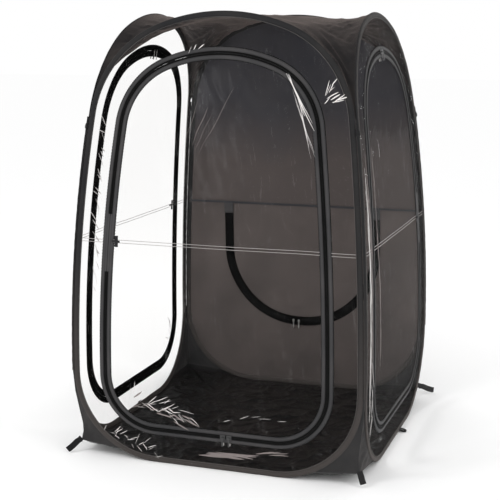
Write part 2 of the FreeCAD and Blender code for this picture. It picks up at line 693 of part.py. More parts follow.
def add_gussets():
    """Two fabric faces per corner, between the hoops' rounded feet and the tip."""
    near = "Sizes.gusset_depth"
    far = "Sizes.gusset_depth + Sizes.gusset_thickness"
    foot = hoop_corner("foot_radius")
    radius = size("foot_radius") + size("gusset_gap")
    start = -math.asin((size("foot_radius") - size("gusset_start")) / radius)
    start_point = (foot[0] + radius * math.cos(start), foot[1] + radius * math.sin(start))
    middle = (size("half_width") - size("bow_radius"), size("wide_height"))
    ridge_radius = size("bow_radius") - value(far) - size("gusset_gap") / 2
    angles = [math.asin((up - middle[1]) / ridge_radius)
              for up in (size("tip_height"), size("foot_radius"))]
    ridge = [(middle[0] + ridge_radius * math.cos(angle),
              middle[1] + ridge_radius * math.sin(angle)) for angle in angles]
    top = (foot[0] + radius, foot[1])
    for corner, turn in CORNERS.items():
        face = doc.addObject("PartDesign::Body", corner + "_gusset_face")
        sketch = new_sketch(face, "XZ_Plane", "FaceSketch")
        shapes = [arc(foot, radius, start, 0), line(top, ridge[1]),
                  arc(middle, ridge_radius, *angles), line(ridge[0], start_point)]
        edges = [sketch.addGeometry(shape, False) for shape in shapes]
        foot_arc, top_line, ridge_arc, low_line = edges
        touching = [(foot_arc, 2, top_line, 1), (top_line, 2, ridge_arc, 2),
                    (ridge_arc, 1, low_line, 1), (low_line, 2, foot_arc, 1)]
        for places in touching:
            sketch.addConstraint(Sketcher.Constraint("Coincident", *places))
        sketch.addConstraint(Sketcher.Constraint("Horizontal", edges[1]))
        bind(sketch, "Radius", (edges[0],), "foot", "Sizes.foot_radius + Sizes.gusset_gap")
        bind(sketch, "Radius", (edges[2],), "ridge",
             "Sizes.bow_radius - (%s) - Sizes.gusset_gap / 2" % far)
        reach = "(Sizes.bow_radius - Sizes.foot_radius)"
        across = ("sqrt(%s ^ 2 - (Sizes.wide_height - Sizes.foot_radius) ^ 2)" % reach
                  + " + Sizes.half_width - Sizes.sleeve_depth - Sizes.bow_radius")
        place(sketch, edges[0], 3, "foot_middle", across, "Sizes.foot_radius")
        place(sketch, edges[0], 1, "start", None, "Sizes.gusset_start")
        place(sketch, edges[0], 2, "top", None, "Sizes.foot_radius")
        place(sketch, edges[2], 3, "ridge_middle",
              "Sizes.half_width - Sizes.bow_radius", "Sizes.wide_height")
        place(sketch, edges[2], 1, "tip", None, "Sizes.tip_height")
        pad(face, sketch, "FacePad", BLOCK_DEPTH)
        trim_to_depth(face, near, far)
        twin = doc.addObject("Part::Mirroring", corner + "_gusset_twin")
        twin.Source = face
        twin.Normal = Vector(1, 1, 0)
        group = doc.addObject("Part::Compound", corner + "_gusset")
        group.Links = [face, twin]
        keep(group, corner + "_gusset",
             Placement(Vector(0, 0, 0), Rotation(Vector(0, 0, 1), turn)))
    doc.recompute()


def add_floor():
    """The floor sheet: flat in the middle, its corners rising to the tips."""
    low = size("floor_bottom")
    wide = size("bow_radius") - size("sleeve_depth") - size("floor_margin")
    edge = math.sqrt(wide ** 2 - (low - size("wide_height")) ** 2)
    edge -= size("bow_radius") - size("half_width")
    flat = size("floor_flat")
    tip = edge + size("floor_tip_reach")
    rise = size("tip_height") - 2 * size("floor_thickness")
    thickness = Vector(0, 0, size("floor_thickness"))
    octagon = []
    flaps = []
    for turn in CORNERS.values():
        spin = Rotation(Vector(0, 0, 1), turn)
        near = spin.multVec(Vector(flat, -edge, low))
        far = spin.multVec(Vector(edge, -flat, low))
        peak = spin.multVec(Vector(tip, -tip, rise))
        octagon += [near, far]
        flaps.append([near, far, peak])
    solids = [Part.Face(Part.makePolygon(points + points[:1])).extrude(thickness)
              for points in [octagon] + flaps]
    floor = doc.addObject("Part::Feature", "floor")
    floor.Shape = solids[0].multiFuse(solids[1:]).removeSplitter()
    keep(floor, "floor", Placement())


def roof_edge(turn, share):
    """A point on the roof's edge under one arch, from 0 to 1 along it."""
    inset = size("roof_inset")
    depth = size("sleeve_depth") + inset
    arcs = hoop_arcs(inset)
    spans = [arcs["shoulder"], arcs["crown"], mirrored(arcs["shoulder"])]
    lengths = [radius * (end - start) for _, radius, start, end in spans]
    ahead = (1 - share) * sum(lengths)
    for (centre, radius, start, end), length in zip(spans, lengths):
        if ahead <= length + 1e-9:
            break
        ahead -= length
    angle = start + ahead / radius
    across = centre[0] + radius * math.cos(angle)
    up = centre[1] + radius * math.sin(angle)
    reach = math.sqrt((size("bow_radius") - depth) ** 2 - (up - size("wide_height")) ** 2)
    point = Vector(across, size("bow_radius") - size("half_width") - reach, up)
    return Rotation(Vector(0, 0, 1), turn).multVec(point)


def roof_grid(steps, rounds):
    """The roof as a tight skin: each point settles at the mean of its neighbours."""
    last = steps - 1
    grid = [[None] * steps for _ in range(steps)]
    for index in range(steps):
        share = index / last
        grid[index][0] = roof_edge(0, share)
        grid[last][index] = roof_edge(90, share)
        grid[last - index][last] = roof_edge(180, share)
        grid[0][last - index] = roof_edge(-90, share)
    for i in range(1, last):
        for j in range(1, last):
            u, v = i / last, j / last
            across = grid[0][j] * (1 - u) + grid[last][j] * u
            along = grid[i][0] * (1 - v) + grid[i][last] * v
            corners = (grid[0][0] * ((1 - u) * (1 - v)) + grid[last][0] * (u * (1 - v))
                       + grid[0][last] * ((1 - u) * v) + grid[last][last] * (u * v))
            grid[i][j] = across + along - corners
    for _ in range(rounds):
        for i in range(1, last):
            for j in range(1, last):
                around = grid[i - 1][j] + grid[i + 1][j] + grid[i][j - 1] + grid[i][j + 1]
                grid[i][j] = around * 0.25
    return grid


def add_roof():
    """The roof skin, hung between the four arches."""
    steps, rounds = 21, 300
    upper = roof_grid(steps, rounds)
    lower = []
    for i in range(steps):
        row = []
        for j in range(steps):
            before, after = upper[max(i - 1, 0)][j], upper[min(i + 1, steps - 1)][j]
            left, right = upper[i][max(j - 1, 0)], upper[i][min(j + 1, steps - 1)]
            normal = (after - before).cross(right - left)
            normal.normalize()
            row.append(upper[i][j] - normal * size("roof_thickness"))
        lower.append(row)
    faces = []
    skins = []
    for grid in (upper, lower):
        surface = Part.BSplineSurface()
        surface.interpolate(grid)
        skins.append(surface)
        faces.append(surface.toShape())
    sides = []
    for edge_above, edge_below in zip(faces[0].Edges, faces[1].Edges):
        sides.append(Part.makeRuledSurface(edge_above, edge_below))
    shell = Part.makeShell(faces + sides)
    shell.sewShape()
    solid = Part.makeSolid(shell)
    if solid.Volume < 0:
        solid.reverse()
    roof = doc.addObject("Part::Feature", "roof")
    roof.Shape = solid
    keep(roof, "roof", Placement())


def webbing_loop(label, length, loop_height):
    """A flat loop of webbing, its long way along +X from the origin."""
    body = doc.addObject("PartDesign::Body", label)
    body.Label = label
    sketch = new_sketch(body, "XZ_Plane", "LoopSketch")
    outer = "%s / 2" % loop_height
    inner = outer + " - Sizes.webbing_thickness"
    for name, radius in (("outer", outer), ("inner", inner)):
        near, far, round_ = value(outer), value("%s - %s" % (length, outer)), value(radius)
        shapes = [
            line((near, -round_), (far, -round_)),
            arc((far, 0), round_, -math.pi / 2, math.pi / 2),
            line((far, round_), (near, round_)),
            arc((near, 0), round_, math.pi / 2, 1.5 * math.pi),
        ]
        edges = [sketch.addGeometry(shape, False) for shape in shapes]
        join(sketch, edges, ["Tangent"] * 4)
        sketch.addConstraint(Sketcher.Constraint("Horizontal", edges[0]))
        sketch.addConstraint(Sketcher.Constraint("Equal", edges[1], edges[3]))
        bind(sketch, "Radius", (edges[1],), name + "_end", radius)
        place(sketch, edges[3], 3, name + "_near", outer, "0")
        place(sketch, edges[1], 3, name + "_far", "%s - %s" % (length, outer), None)
    pad(body, sketch, "LoopPad", "Sizes.webbing_width", both_ways=True)
    return body


def add_loops():
    """Stake loops at the corners and sides, and loops at the corner joints."""
    stakes = []
    clear = size("gusset_gap") + size("webbing_thickness")
    for corner, turn in CORNERS.items():
        loop = webbing_loop(corner + "_stake_loop", "Sizes.loop_length", "Sizes.loop_height")
        tip = size("half_width") - size("gusset_depth") + clear
        start = Vector(tip, -tip, size("tip_height") - clear)
        spin = Rotation(Vector(0, 0, 1), -45).multiply(
            Rotation(Vector(0, 1, 0), size("loop_slope")))
        loop.Placement = Placement(Vector(0, 0, 0), Rotation(Vector(0, 0, 1), turn)).multiply(
            Placement(start, spin))
        stakes.append(loop)
    for name, turn, side in (("right", 0, 1), ("left", 180, -1)):
        loop = webbing_loop(name + "_side_loop", "Sizes.side_loop_length", "Sizes.loop_height")
        start = Vector(size("half_width") - 2 * clear, side * size("side_loop_place"),
                       size("loop_height") / 2 + size("side_loop_lift"))
        loop.Placement = Placement(Vector(0, 0, 0), Rotation(Vector(0, 0, 1), turn)).multiply(
            Placement(start, Rotation()))
        stakes.append(loop)
    group = doc.addObject("Part::Compound", "stake_loops")
    group.Links = stakes
    keep(group, "stake_loops")
    joints = []
    for corner, turn in CORNERS.items():
        loop = webbing_loop(corner + "_joint_loop", "Sizes.corner_loop_length",
                            "Sizes.corner_loop_height")
        up = size("corner_loop_place")
        out = math.sqrt(size("bow_radius") ** 2 - (up - size("wide_height")) ** 2)
        out -= size("bow_radius") - size("half_width") - clear - size("corner_loop_height") / 2
        spin = Rotation(Vector(0, 0, 1), -45).multiply(
            Rotation(Vector(0, 1, 0), size("corner_loop_slope")))
        loop.Placement = Placement(Vector(0, 0, 0), Rotation(Vector(0, 0, 1), turn)).multiply(
            Placement(Vector(out, -out, up), spin))
        joints.append(loop)
    group = doc.addObject("Part::Compound", "joint_loops")
    group.Links = joints
    keep(group, "joint_loops")


# ----------------------------------------------------- build and write

for wall in WALLS:
    add_hoop_and_sleeve(wall)
    if wall == "back":
        add_back_wall()
    else:
        add_door(wall)
        add_tie(wall)
    add_sliders(wall)
add_corner_bindings()
add_gussets()
add_floor()
add_roof()
add_loops()
doc.recompute()

for item in doc.Objects:
    if "Invalid" in item.State or "Error" in item.State:
        raise RuntimeError("%s did not recompute: %s" % (item.Name, item.State))
for item in SUBPARTS:
    if item.Shape.isNull() or not item.Shape.isValid() or not item.Shape.Solids:
        raise RuntimeError("%s has no valid solid" % item.Label)

os.makedirs("parts", exist_ok=True)
for item in SUBPARTS:
    item.Shape.exportStep("parts/%s.step" % item.Label)
print("%d sub-parts written" % len(SUBPARTS))
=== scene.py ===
import math

import bmesh
import bpy
import numpy as np
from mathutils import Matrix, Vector


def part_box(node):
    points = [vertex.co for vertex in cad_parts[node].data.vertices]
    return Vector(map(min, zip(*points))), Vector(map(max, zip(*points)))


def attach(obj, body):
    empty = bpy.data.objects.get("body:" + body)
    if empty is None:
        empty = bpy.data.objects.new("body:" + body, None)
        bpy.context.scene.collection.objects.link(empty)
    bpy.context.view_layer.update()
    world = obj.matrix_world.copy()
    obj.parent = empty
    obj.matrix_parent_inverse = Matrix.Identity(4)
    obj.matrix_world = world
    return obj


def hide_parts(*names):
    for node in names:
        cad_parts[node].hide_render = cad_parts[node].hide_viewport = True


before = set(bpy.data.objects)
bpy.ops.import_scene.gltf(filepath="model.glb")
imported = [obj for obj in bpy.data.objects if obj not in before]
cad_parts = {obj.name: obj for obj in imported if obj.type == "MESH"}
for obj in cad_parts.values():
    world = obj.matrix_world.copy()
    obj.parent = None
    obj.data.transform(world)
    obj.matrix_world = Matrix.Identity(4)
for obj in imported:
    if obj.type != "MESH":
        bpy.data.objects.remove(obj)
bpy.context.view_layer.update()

# A pop-up pod tent.  Every wall is worked out as the front wall, which faces
# -Y, in metres across (x) and up (z), and is then turned about +Z.  "Inset" is
# measured inwards from a hoop's outer edge, and "depth" inwards from the
# outside of the wall's shallow barrel.

# ------------------------------------------------------------- dimensions

# The tent's half width and its height, then the hoop's outline: the radii of its bowed
# sides, crown, shoulders and feet, with the heights and places they start from.
HALF = -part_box("front_sleeve")[0].y
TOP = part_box("front_sleeve")[1].z
BOW = 7.95
WIDE_Z = 0.353
CROWN = 0.72
SHOULDER = 0.42
FOOT = 0.345
SLEEVE_DEPTH = 0.010
FOOT_X = HALF - SLEEVE_DEPTH - BOW + math.sqrt((BOW - FOOT) ** 2 - (FOOT - WIDE_Z) ** 2)
# The walls: the sleeve's hem, the seam at mid height, and how far a panel is tucked in
# under the hem or a zip's tape.
HEM = 0.0245
SEAM_Z = 0.875
FILM_DEPTH = 0.005
HEM_TUCK = 0.003
TAPE_TUCK = 0.004
# The doors: where the zip runs, how much lower its crown is, its tapes and its hinge.
ZIP_INSET = 0.137
DOOR_DROP = 0.018
ZIP_GAP = 0.001
BINDING = 0.022
ROW = 0.007
HINGE_LOW = 0.760
HINGE_HIGH = 0.980
HINGE_REACH = 0.32
# The back flap, a U with rounded corners, and the strip cut free behind its zip.
FLAP_HALF = 0.358
FLAP_BOTTOM = 0.315
FLAP_CORNER = 0.345
FLAP_TAPE = 0.021
WALL_GAP = 0.012
# The lower corners' tips, where the stake loops are sewn, and the floor.
TIP_Z = 0.050
TIP_HALF = 0.576
GUSSET_START_Z = 0.031
FLOOR_Z = 0.002
# Small repeats: the step along a hoop, then teeth, stitches, pinked edges and trim.
STEP = 0.006
TOOTH_PITCH = 0.0032
DOOR_TOOTH = (0.0019, 0.0042, 0.0010)
FLAP_TOOTH = (0.0019, 0.0046, 0.0010)
STITCH_PITCH = 0.0046
STITCH = (0.0032, 0.0008, 0.0006)
JAG_PITCH = 0.012
PIPING = 0.0044
JOINT_Z = 1.318
STRAP_WIDTH = 0.023
INNER_PULL_DEPTH = 0.0105

TURNS = {"front": 0, "right": 90, "back": 180, "left": -90}
HINGE_SIDE = {"front": -1, "right": 1, "left": -1}
DOOR_WALLS = ("front", "right", "left")
CORNER_TURNS = {"front_right": 0, "back_right": 90, "back_left": 180, "front_left": -90}
ROOT = "tent"


# ------------------------------------------------------------ small tools

def turned(points, degrees):
    """Points turned about +Z."""
    angle = math.radians(degrees)
    c, s = math.cos(angle), math.sin(angle)
    return points @ np.array([[c, s, 0], [-s, c, 0], [0, 0, 1]])


def on_wall(wall, across, up, depth):
    """Points of a wall from places across and up it and depths into it."""
    across, up, depth = np.broadcast_arrays(across, up, depth)
    back = BOW - HALF - np.sqrt((BOW - depth) ** 2 - (up - WIDE_Z) ** 2)
    return turned(np.stack([across, back, up], -1), TURNS[wall])


def lattice(seed):
    """A seeded table of unit directions for noise()."""
    angles = np.random.default_rng(seed).uniform(0, 2 * math.pi, (256, 256))
    return np.stack([np.cos(angles), np.sin(angles)], -1)


def noise(x, y, seed):
    """Smooth gradient noise from about -1 to 1."""
    table = lattice(seed)
    xi, yi = np.floor(x).astype(int), np.floor(y).astype(int)
    xf, yf = x - xi, y - yi
    sx = xf * xf * xf * (xf * (xf * 6 - 15) + 10)
    sy = yf * yf * yf * (yf * (yf * 6 - 15) + 10)
    total = 0
    for dx in (0, 1):
        for dy in (0, 1):
            grads = table[(xi + dx) % 256, (yi + dy) % 256]
            dots = grads[..., 0] * (xf - dx) + grads[..., 1] * (yf - dy)
            total = total + dots * (sx if dx else 1 - sx) * (sy if dy else 1 - sy)
    return total * 1.5


def creases(x, y, seed):
    """Sharp-crested folds from 0 to 1."""
    return np.clip(1 - np.abs(noise(x, y, seed)) * 2.2, 0, 1) ** 2


def ease(value, start, end):
    """Smooth step from 0 at start to 1 at end."""
    share = np.clip((value - start) / (end - start), 0, 1)
    return share * share * (3 - 2 * share)


def circle(count):
    """Evenly spaced angles of a full turn."""
    return np.linspace(0, 2 * math.pi, count, endpoint=False)


def unit(vectors):
    """Rows of vectors brought to length 1."""
    return vectors / np.linalg.norm(vectors, axis=-1, keepdims=True)


def places_at(at, run, points):
    """Places on a line of points, at distances measured as run is."""
    return np.stack([np.interp(at, run, points[:, k]) for k in range(3)], -1)


def finish_mesh(name, mesh, material, smooth=True):
    mesh.validate()
    mesh.polygons.foreach_set("use_smooth", [smooth] * len(mesh.polygons))
    mesh.materials.append(material)
    thing = bpy.data.objects.new(name, mesh)
    bpy.context.scene.collection.objects.link(thing)
    return thing


def grid_object(name, points, along, across, material, loop_along=False, loop_across=False):
    """A mesh from a grid of points, with its UVs in metres along and across it."""
    n, m = points.shape[:2]
    i, j = np.meshgrid(np.arange(n if loop_along else n - 1),
                       np.arange(m if loop_across else m - 1), indexing="ij")
    corners = ((i, j), (i + 1, j), (i + 1, j + 1), (i, j + 1))
    quads = np.stack([(a % n) * m + b % m for a, b in corners], -1).reshape(-1, 4)
    mesh = bpy.data.meshes.new(name)
    mesh.from_pydata(points.reshape(-1, 3).tolist(), [], quads.tolist())
    uv = np.stack([np.stack([along[a], across[b]], -1) for a, b in corners], -2)
    mesh.uv_layers.new(name="UVMap").data.foreach_set("uv", uv.ravel())
    return finish_mesh(name, mesh, material)


def lengths(points, closed=False):
    """Distance along a line of points, from 0, with the closing one if closed."""
    line = np.vstack([points, points[:1]]) if closed else points
    steps = np.linalg.norm(np.diff(line, axis=0), axis=1)
    return np.concatenate([[0], np.cumsum(steps)])


# ------------------------------------------------------------ hoop curves

def hoop_spans(drop=0.0):
    """The arcs of a hoop's outer edge on the +X side: centre, start, end and radius."""
    side = (HALF - SLEEVE_DEPTH - BOW, WIDE_Z)
    crown = (0.0, TOP - CROWN - drop)
    reach, fall, apart = BOW - SHOULDER, CROWN - SHOULDER, math.dist(side, crown)
    way = (reach ** 2 - fall ** 2 + apart ** 2) / (2 * apart)
    off = math.sqrt(reach ** 2 - way ** 2)
    ux, uz = (crown[0] - side[0]) / apart, (crown[1] - side[1]) / apart
    shoulder = (side[0] + ux * way - uz * off, side[1] + uz * way + ux * off)
    foot = (FOOT_X, FOOT)
    low = math.atan2(foot[1] - side[1], foot[0] - side[0])
    high = math.atan2(shoulder[1] - side[1], shoulder[0] - side[0])
    top = math.atan2(shoulder[1] - crown[1], shoulder[0] - crown[0])
    return [(foot, -math.pi / 2, low, FOOT), (side, low, high, BOW),
            (shoulder, high, top, SHOULDER), (crown, top, math.pi / 2, CROWN)]


def hoop_curve(step, drop=0.0):
    """A hoop's outer edge from the bottom middle round by +X: places and inward normals."""
    count = int(FOOT_X / step)
    flat = np.stack([np.linspace(0, FOOT_X, count, endpoint=False), np.zeros(count)], -1)
    pieces = [(flat, np.tile([0.0, 1.0], (count, 1)))]
    for plain_span, span in zip(hoop_spans(), hoop_spans(drop)):
        count = int((plain_span[2] - plain_span[1]) * plain_span[3] / step)
        centre, start, end, radius = span
        angles = np.linspace(start, end, count, endpoint=False)
        rays = np.stack([np.cos(angles), np.sin(angles)], -1)
        pieces.append((np.array(centre) + rays * radius, -rays))
    places = np.vstack([p for p, _ in pieces] + [[[0.0, TOP - drop]]])
    inward = np.vstack([n for _, n in pieces] + [[[0.0, -1.0]]])
    mirror = np.array([-1, 1])
    places = np.vstack([places, places[-2:0:-1] * mirror])
    inward = np.vstack([inward, inward[-2:0:-1] * mirror])
    return places, inward


def half_width_at(up, inset, drop=0.0):
    """Half the width of the hoop outline at heights, moved inwards by inset."""
    places, inward = hoop_curve(0.004, drop)
    edge = places + inward * inset
    right = edge[: len(edge) // 2 + 1]
    start = int(np.argmax(right[:, 1] > inset + 1e-7)) - 1
    return np.interp(up, right[start:, 1], right[start:, 0])


def ring(wall, insets, depths, step=STEP, ripple=None, keep=None, drops=1.0):
    """Points of a band round a hoop: one row per place on it, one column per inset.

    Drops are 0 on the sleeve's own outline and 1 on the door's, whose crown is lower.
    """
    outer, outer_in = hoop_curve(step)
    door, door_in = hoop_curve(step, DOOR_DROP)
    order = np.arange(len(door))
    if keep is not None:
        mask = keep(door + door_in * ZIP_INSET)
        first = int(np.argmax(mask & ~np.roll(mask, 1)))
        order = np.roll(order, -first)
        order = order[mask[order]]
    outer, outer_in, door, door_in = outer[order], outer_in[order], door[order], door_in[order]
    run = lengths(door, closed=keep is None)
    insets = np.broadcast_to(insets, (len(door), np.shape(insets)[-1]))
    depths = np.broadcast_to(depths, insets.shape)
    if ripple is not None:
        insets, depths = ripple(run[: len(door), None], insets, depths)
    share = np.broadcast_to(drops, insets.shape[1:])[None, :, None]
    deep = insets[..., None]
    flat = (outer[:, None] + outer_in[:, None] * deep) * (1 - share)
    flat = flat + (door[:, None] + door_in[:, None] * deep) * share
    return on_wall(wall, flat[..., 0], flat[..., 1], depths), run


def has_zip(wall):
    """A test that is true where a wall's zip runs, and false at the door's hinge."""
    side = HINGE_SIDE[wall]

    def test(flat):
        at_hinge = flat[:, 0] * side > HINGE_REACH
        return ~(at_hinge & (flat[:, 1] > HINGE_LOW) & (flat[:, 1] < HINGE_HIGH))
    return test


# -------------------------------------------------------------- materials

class Net:
    """A node tree, with short ways to add a node and get its output."""

    def __init__(self, tree):
        self.nodes, self.links = tree.nodes, tree.links

    def add(self, kind, **settings):
        node = self.nodes.new("ShaderNode" + kind)
        for name, value in settings.items():
            setattr(node, name, value)
        return node

    def math(self, operation, *values):
        """A math node, whose values are numbers or other nodes' outputs."""
        node = self.add("Math", operation=operation)
        for socket, value in zip(node.inputs, values):
            if hasattr(value, "is_output"):
                self.links.new(value, socket)
            else:
                socket.default_value = value
        return node.outputs[0]

    def noise(self, vector, scale, detail=3.0, rough=0.55):
        node = self.add("TexNoise")
        node.inputs["Scale"].default_value = scale
        node.inputs["Detail"].default_value = detail
        node.inputs["Roughness"].default_value = rough
        self.links.new(vector, node.inputs["Vector"])
        return node.outputs["Fac"]

    def ramp(self, value, low, high, first, last):
        """Two colours mixed as value goes from low to high, both within 0 to 1."""
        node = self.add("ValToRGB")
        for stop, place, colour in zip(node.color_ramp.elements, (low, high), (first, last)):
            stop.position = place
            stop.color = (*colour, 1)
        self.links.new(value, node.inputs[0])
        return node.outputs[0]

    def share(self, value, low, high):
        """A grey from 0 at low to 1 at high."""
        return self.ramp(value, low, high, (0, 0, 0), (1, 1, 1))

    def bump(self, height, strength, distance):
        node = self.add("Bump")
        node.inputs["Strength"].default_value = strength
        node.inputs["Distance"].default_value = distance
        self.links.new(height, node.inputs["Height"])
        return node.outputs[0]

    def mix_shaders(self, share, first, second):
        node = self.add("MixShader")
        for socket, value in zip(node.inputs, (share, first, second)):
            self.links.new(value, socket)
        return node.outputs[0]


def new_material(name):
    material = bpy.data.materials.new(name)
    material.use_nodes = True
    return material, Net(material.node_tree), material.node_tree.nodes["Principled BSDF"]


def weave_height(net, pitch):
    """Plain-weave height from the UVs, which are in metres."""
    uv = net.add("UVMap").outputs[0]
    split = net.add("SeparateXYZ")
    net.links.new(uv, split.inputs[0])
    waves = [net.math("SINE", net.math("MULTIPLY", split.outputs[axis], 2 * math.pi / pitch))
             for axis in (0, 1)]
    return net.math("MULTIPLY", *waves)


def set_inputs(shader, **values):
    """Constant values on a shader's own sockets, named with _ for each space."""
    for name, value in values.items():
        shader.inputs[name.replace("_", " ")].default_value = value


def cloth_material(name, dark, light, pitch=0.0008, rough=0.8, sheen=0.15,
                   sheen_tint=(1, 1, 1), patch_scale=6.0, bump=0.15, coat=0.0, shine=0.3,
                   low=None):
    """Woven cloth: fine weave, uneven colour and small creases.

    Low, if given, paints light and shade by height: a lighter colour for the lower part and the two
    heights between which it fades out upwards.
    """
    material, net, shader = new_material(name)
    height = weave_height(net, pitch)
    place = net.add("TexCoord").outputs["Object"]
    patches = net.noise(place, patch_scale, 5.0)
    fine = net.noise(place, 160.0, 2.0)
    mixed = net.math("ADD", net.math("MULTIPLY", patches, 0.85), net.math("MULTIPLY", fine, 0.15))
    colour = net.ramp(mixed, 0.36, 0.66, dark, light)
    # Painted light and shade: the lower part takes the lighter low colour, which fades out upwards
    # between the two heights.
    if low:
        lit_low_colour, start, end = low
        split = net.add("SeparateXYZ")
        net.links.new(place, split.inputs[0])
        height_at = net.math("ADD", split.outputs[2], net.math("MULTIPLY", patches, 0.6))
        painted_light_fade = net.share(net.math("MULTIPLY", height_at, 0.5), start / 2, end / 2)
        mix = net.add("Mix", data_type="RGBA")
        net.links.new(painted_light_fade, mix.inputs[0])
        mix.inputs[6].default_value = (*lit_low_colour, 1)
        net.links.new(colour, mix.inputs[7])
        colour = mix.outputs[2]
    net.links.new(colour, shader.inputs["Base Color"])
    net.links.new(net.ramp(fine, 0.3, 0.7, (rough - 0.08,) * 3, (rough + 0.08,) * 3),
                  shader.inputs["Roughness"])
    crumple = net.math("MULTIPLY", net.noise(place, 24.0, 2.0), 3.0)
    net.links.new(net.bump(net.math("ADD", height, crumple), bump, 0.0005),
                  shader.inputs["Normal"])
    set_inputs(shader, Sheen_Weight=sheen, Sheen_Roughness=0.4, Sheen_Tint=(*sheen_tint, 1),
               Specular_IOR_Level=shine, Coat_Weight=coat, Coat_Roughness=0.22)
    return material


def crease_glint_lines(net, uv, turn, across, along, offset):
    """A mask of painted hairline glints along a film's creases, running at a turn from upright,
    from its UVs in metres.
    """
    spin, grow = net.add("Mapping"), net.add("Mapping")
    spin.inputs["Rotation"].default_value = (0, 0, math.radians(turn))
    grow.inputs["Scale"].default_value = (across, along, 1)
    grow.inputs["Location"].default_value = (offset, offset * 0.7, offset)
    net.links.new(uv, spin.inputs["Vector"])
    net.links.new(spin.outputs[0], grow.inputs["Vector"])
    waves = net.noise(grow.outputs[0], 1.0, 1.0, 0.4)
    size = net.math("ABSOLUTE", net.math("SUBTRACT", waves, 0.5))
    return net.ramp(size, 0.003, 0.011, (1, 1, 1), (0, 0, 0)), waves


def film_material(name, offset, glint_strength):
    """Clear soft film, nearly all see-through, with faint painted hairline glints along its
    creases.
    """
    material, net, shader = new_material(name)
    uv = net.add("UVMap").outputs[0]
    broken = net.share(net.noise(uv, 26.0, 1.0), 0.44, 0.58)
    glint_lines, waves = crease_glint_lines(net, uv, -8, 38.0, 2.2, offset)
    painted_glint = net.math("MULTIPLY", net.math("MULTIPLY", glint_lines, glint_strength), broken)
    # Painted glints: a whitish shader mixed in along the crease lines, bright whatever the lamps
    # do.
    set_inputs(shader, Base_Color=(0.80, 0.76, 0.74, 1), Roughness=0.15)
    glossy, clear = net.add("BsdfGlossy"), net.add("BsdfTransparent")
    set_inputs(glossy, Roughness=0.07)
    net.links.new(net.bump(waves, 0.08, 0.003), glossy.inputs["Normal"])
    set_inputs(clear, Color=(0.985, 0.983, 0.98, 1))
    facing = net.add("LayerWeight").outputs["Facing"]
    gloss = net.math("MULTIPLY_ADD", net.math("POWER", facing, 4.0), 0.05, 0.002)
    sheet = net.mix_shaders(gloss, clear.outputs[0], glossy.outputs[0])
    whole = net.mix_shaders(painted_glint, sheet, shader.outputs[0])
    net.links.new(whole, net.nodes["Material Output"].inputs["Surface"])
    return material


def hard_material(name, colour, rough, metal, wear_and_glint, shine=0.5):
    """Metal or moulded plastic with fine grain and slightly lighter high spots: wear on the metal
    and plastic parts, painted glint on the film's folds and weld beads.
    """
    material, net, shader = new_material(name)
    grain = net.noise(net.add("TexCoord").outputs["Object"], 900.0, 3.0)
    net.links.new(net.ramp(grain, 0.35, 0.8, colour, wear_and_glint), shader.inputs["Base Color"])
    net.links.new(net.ramp(grain, 0.3, 0.7, (rough,) * 3, (rough + 0.12,) * 3),
                  shader.inputs["Roughness"])
    set_inputs(shader, Metallic=metal, Specular_IOR_Level=shine)
    net.links.new(net.bump(grain, 0.15, 0.0002), shader.inputs["Normal"])
    return material


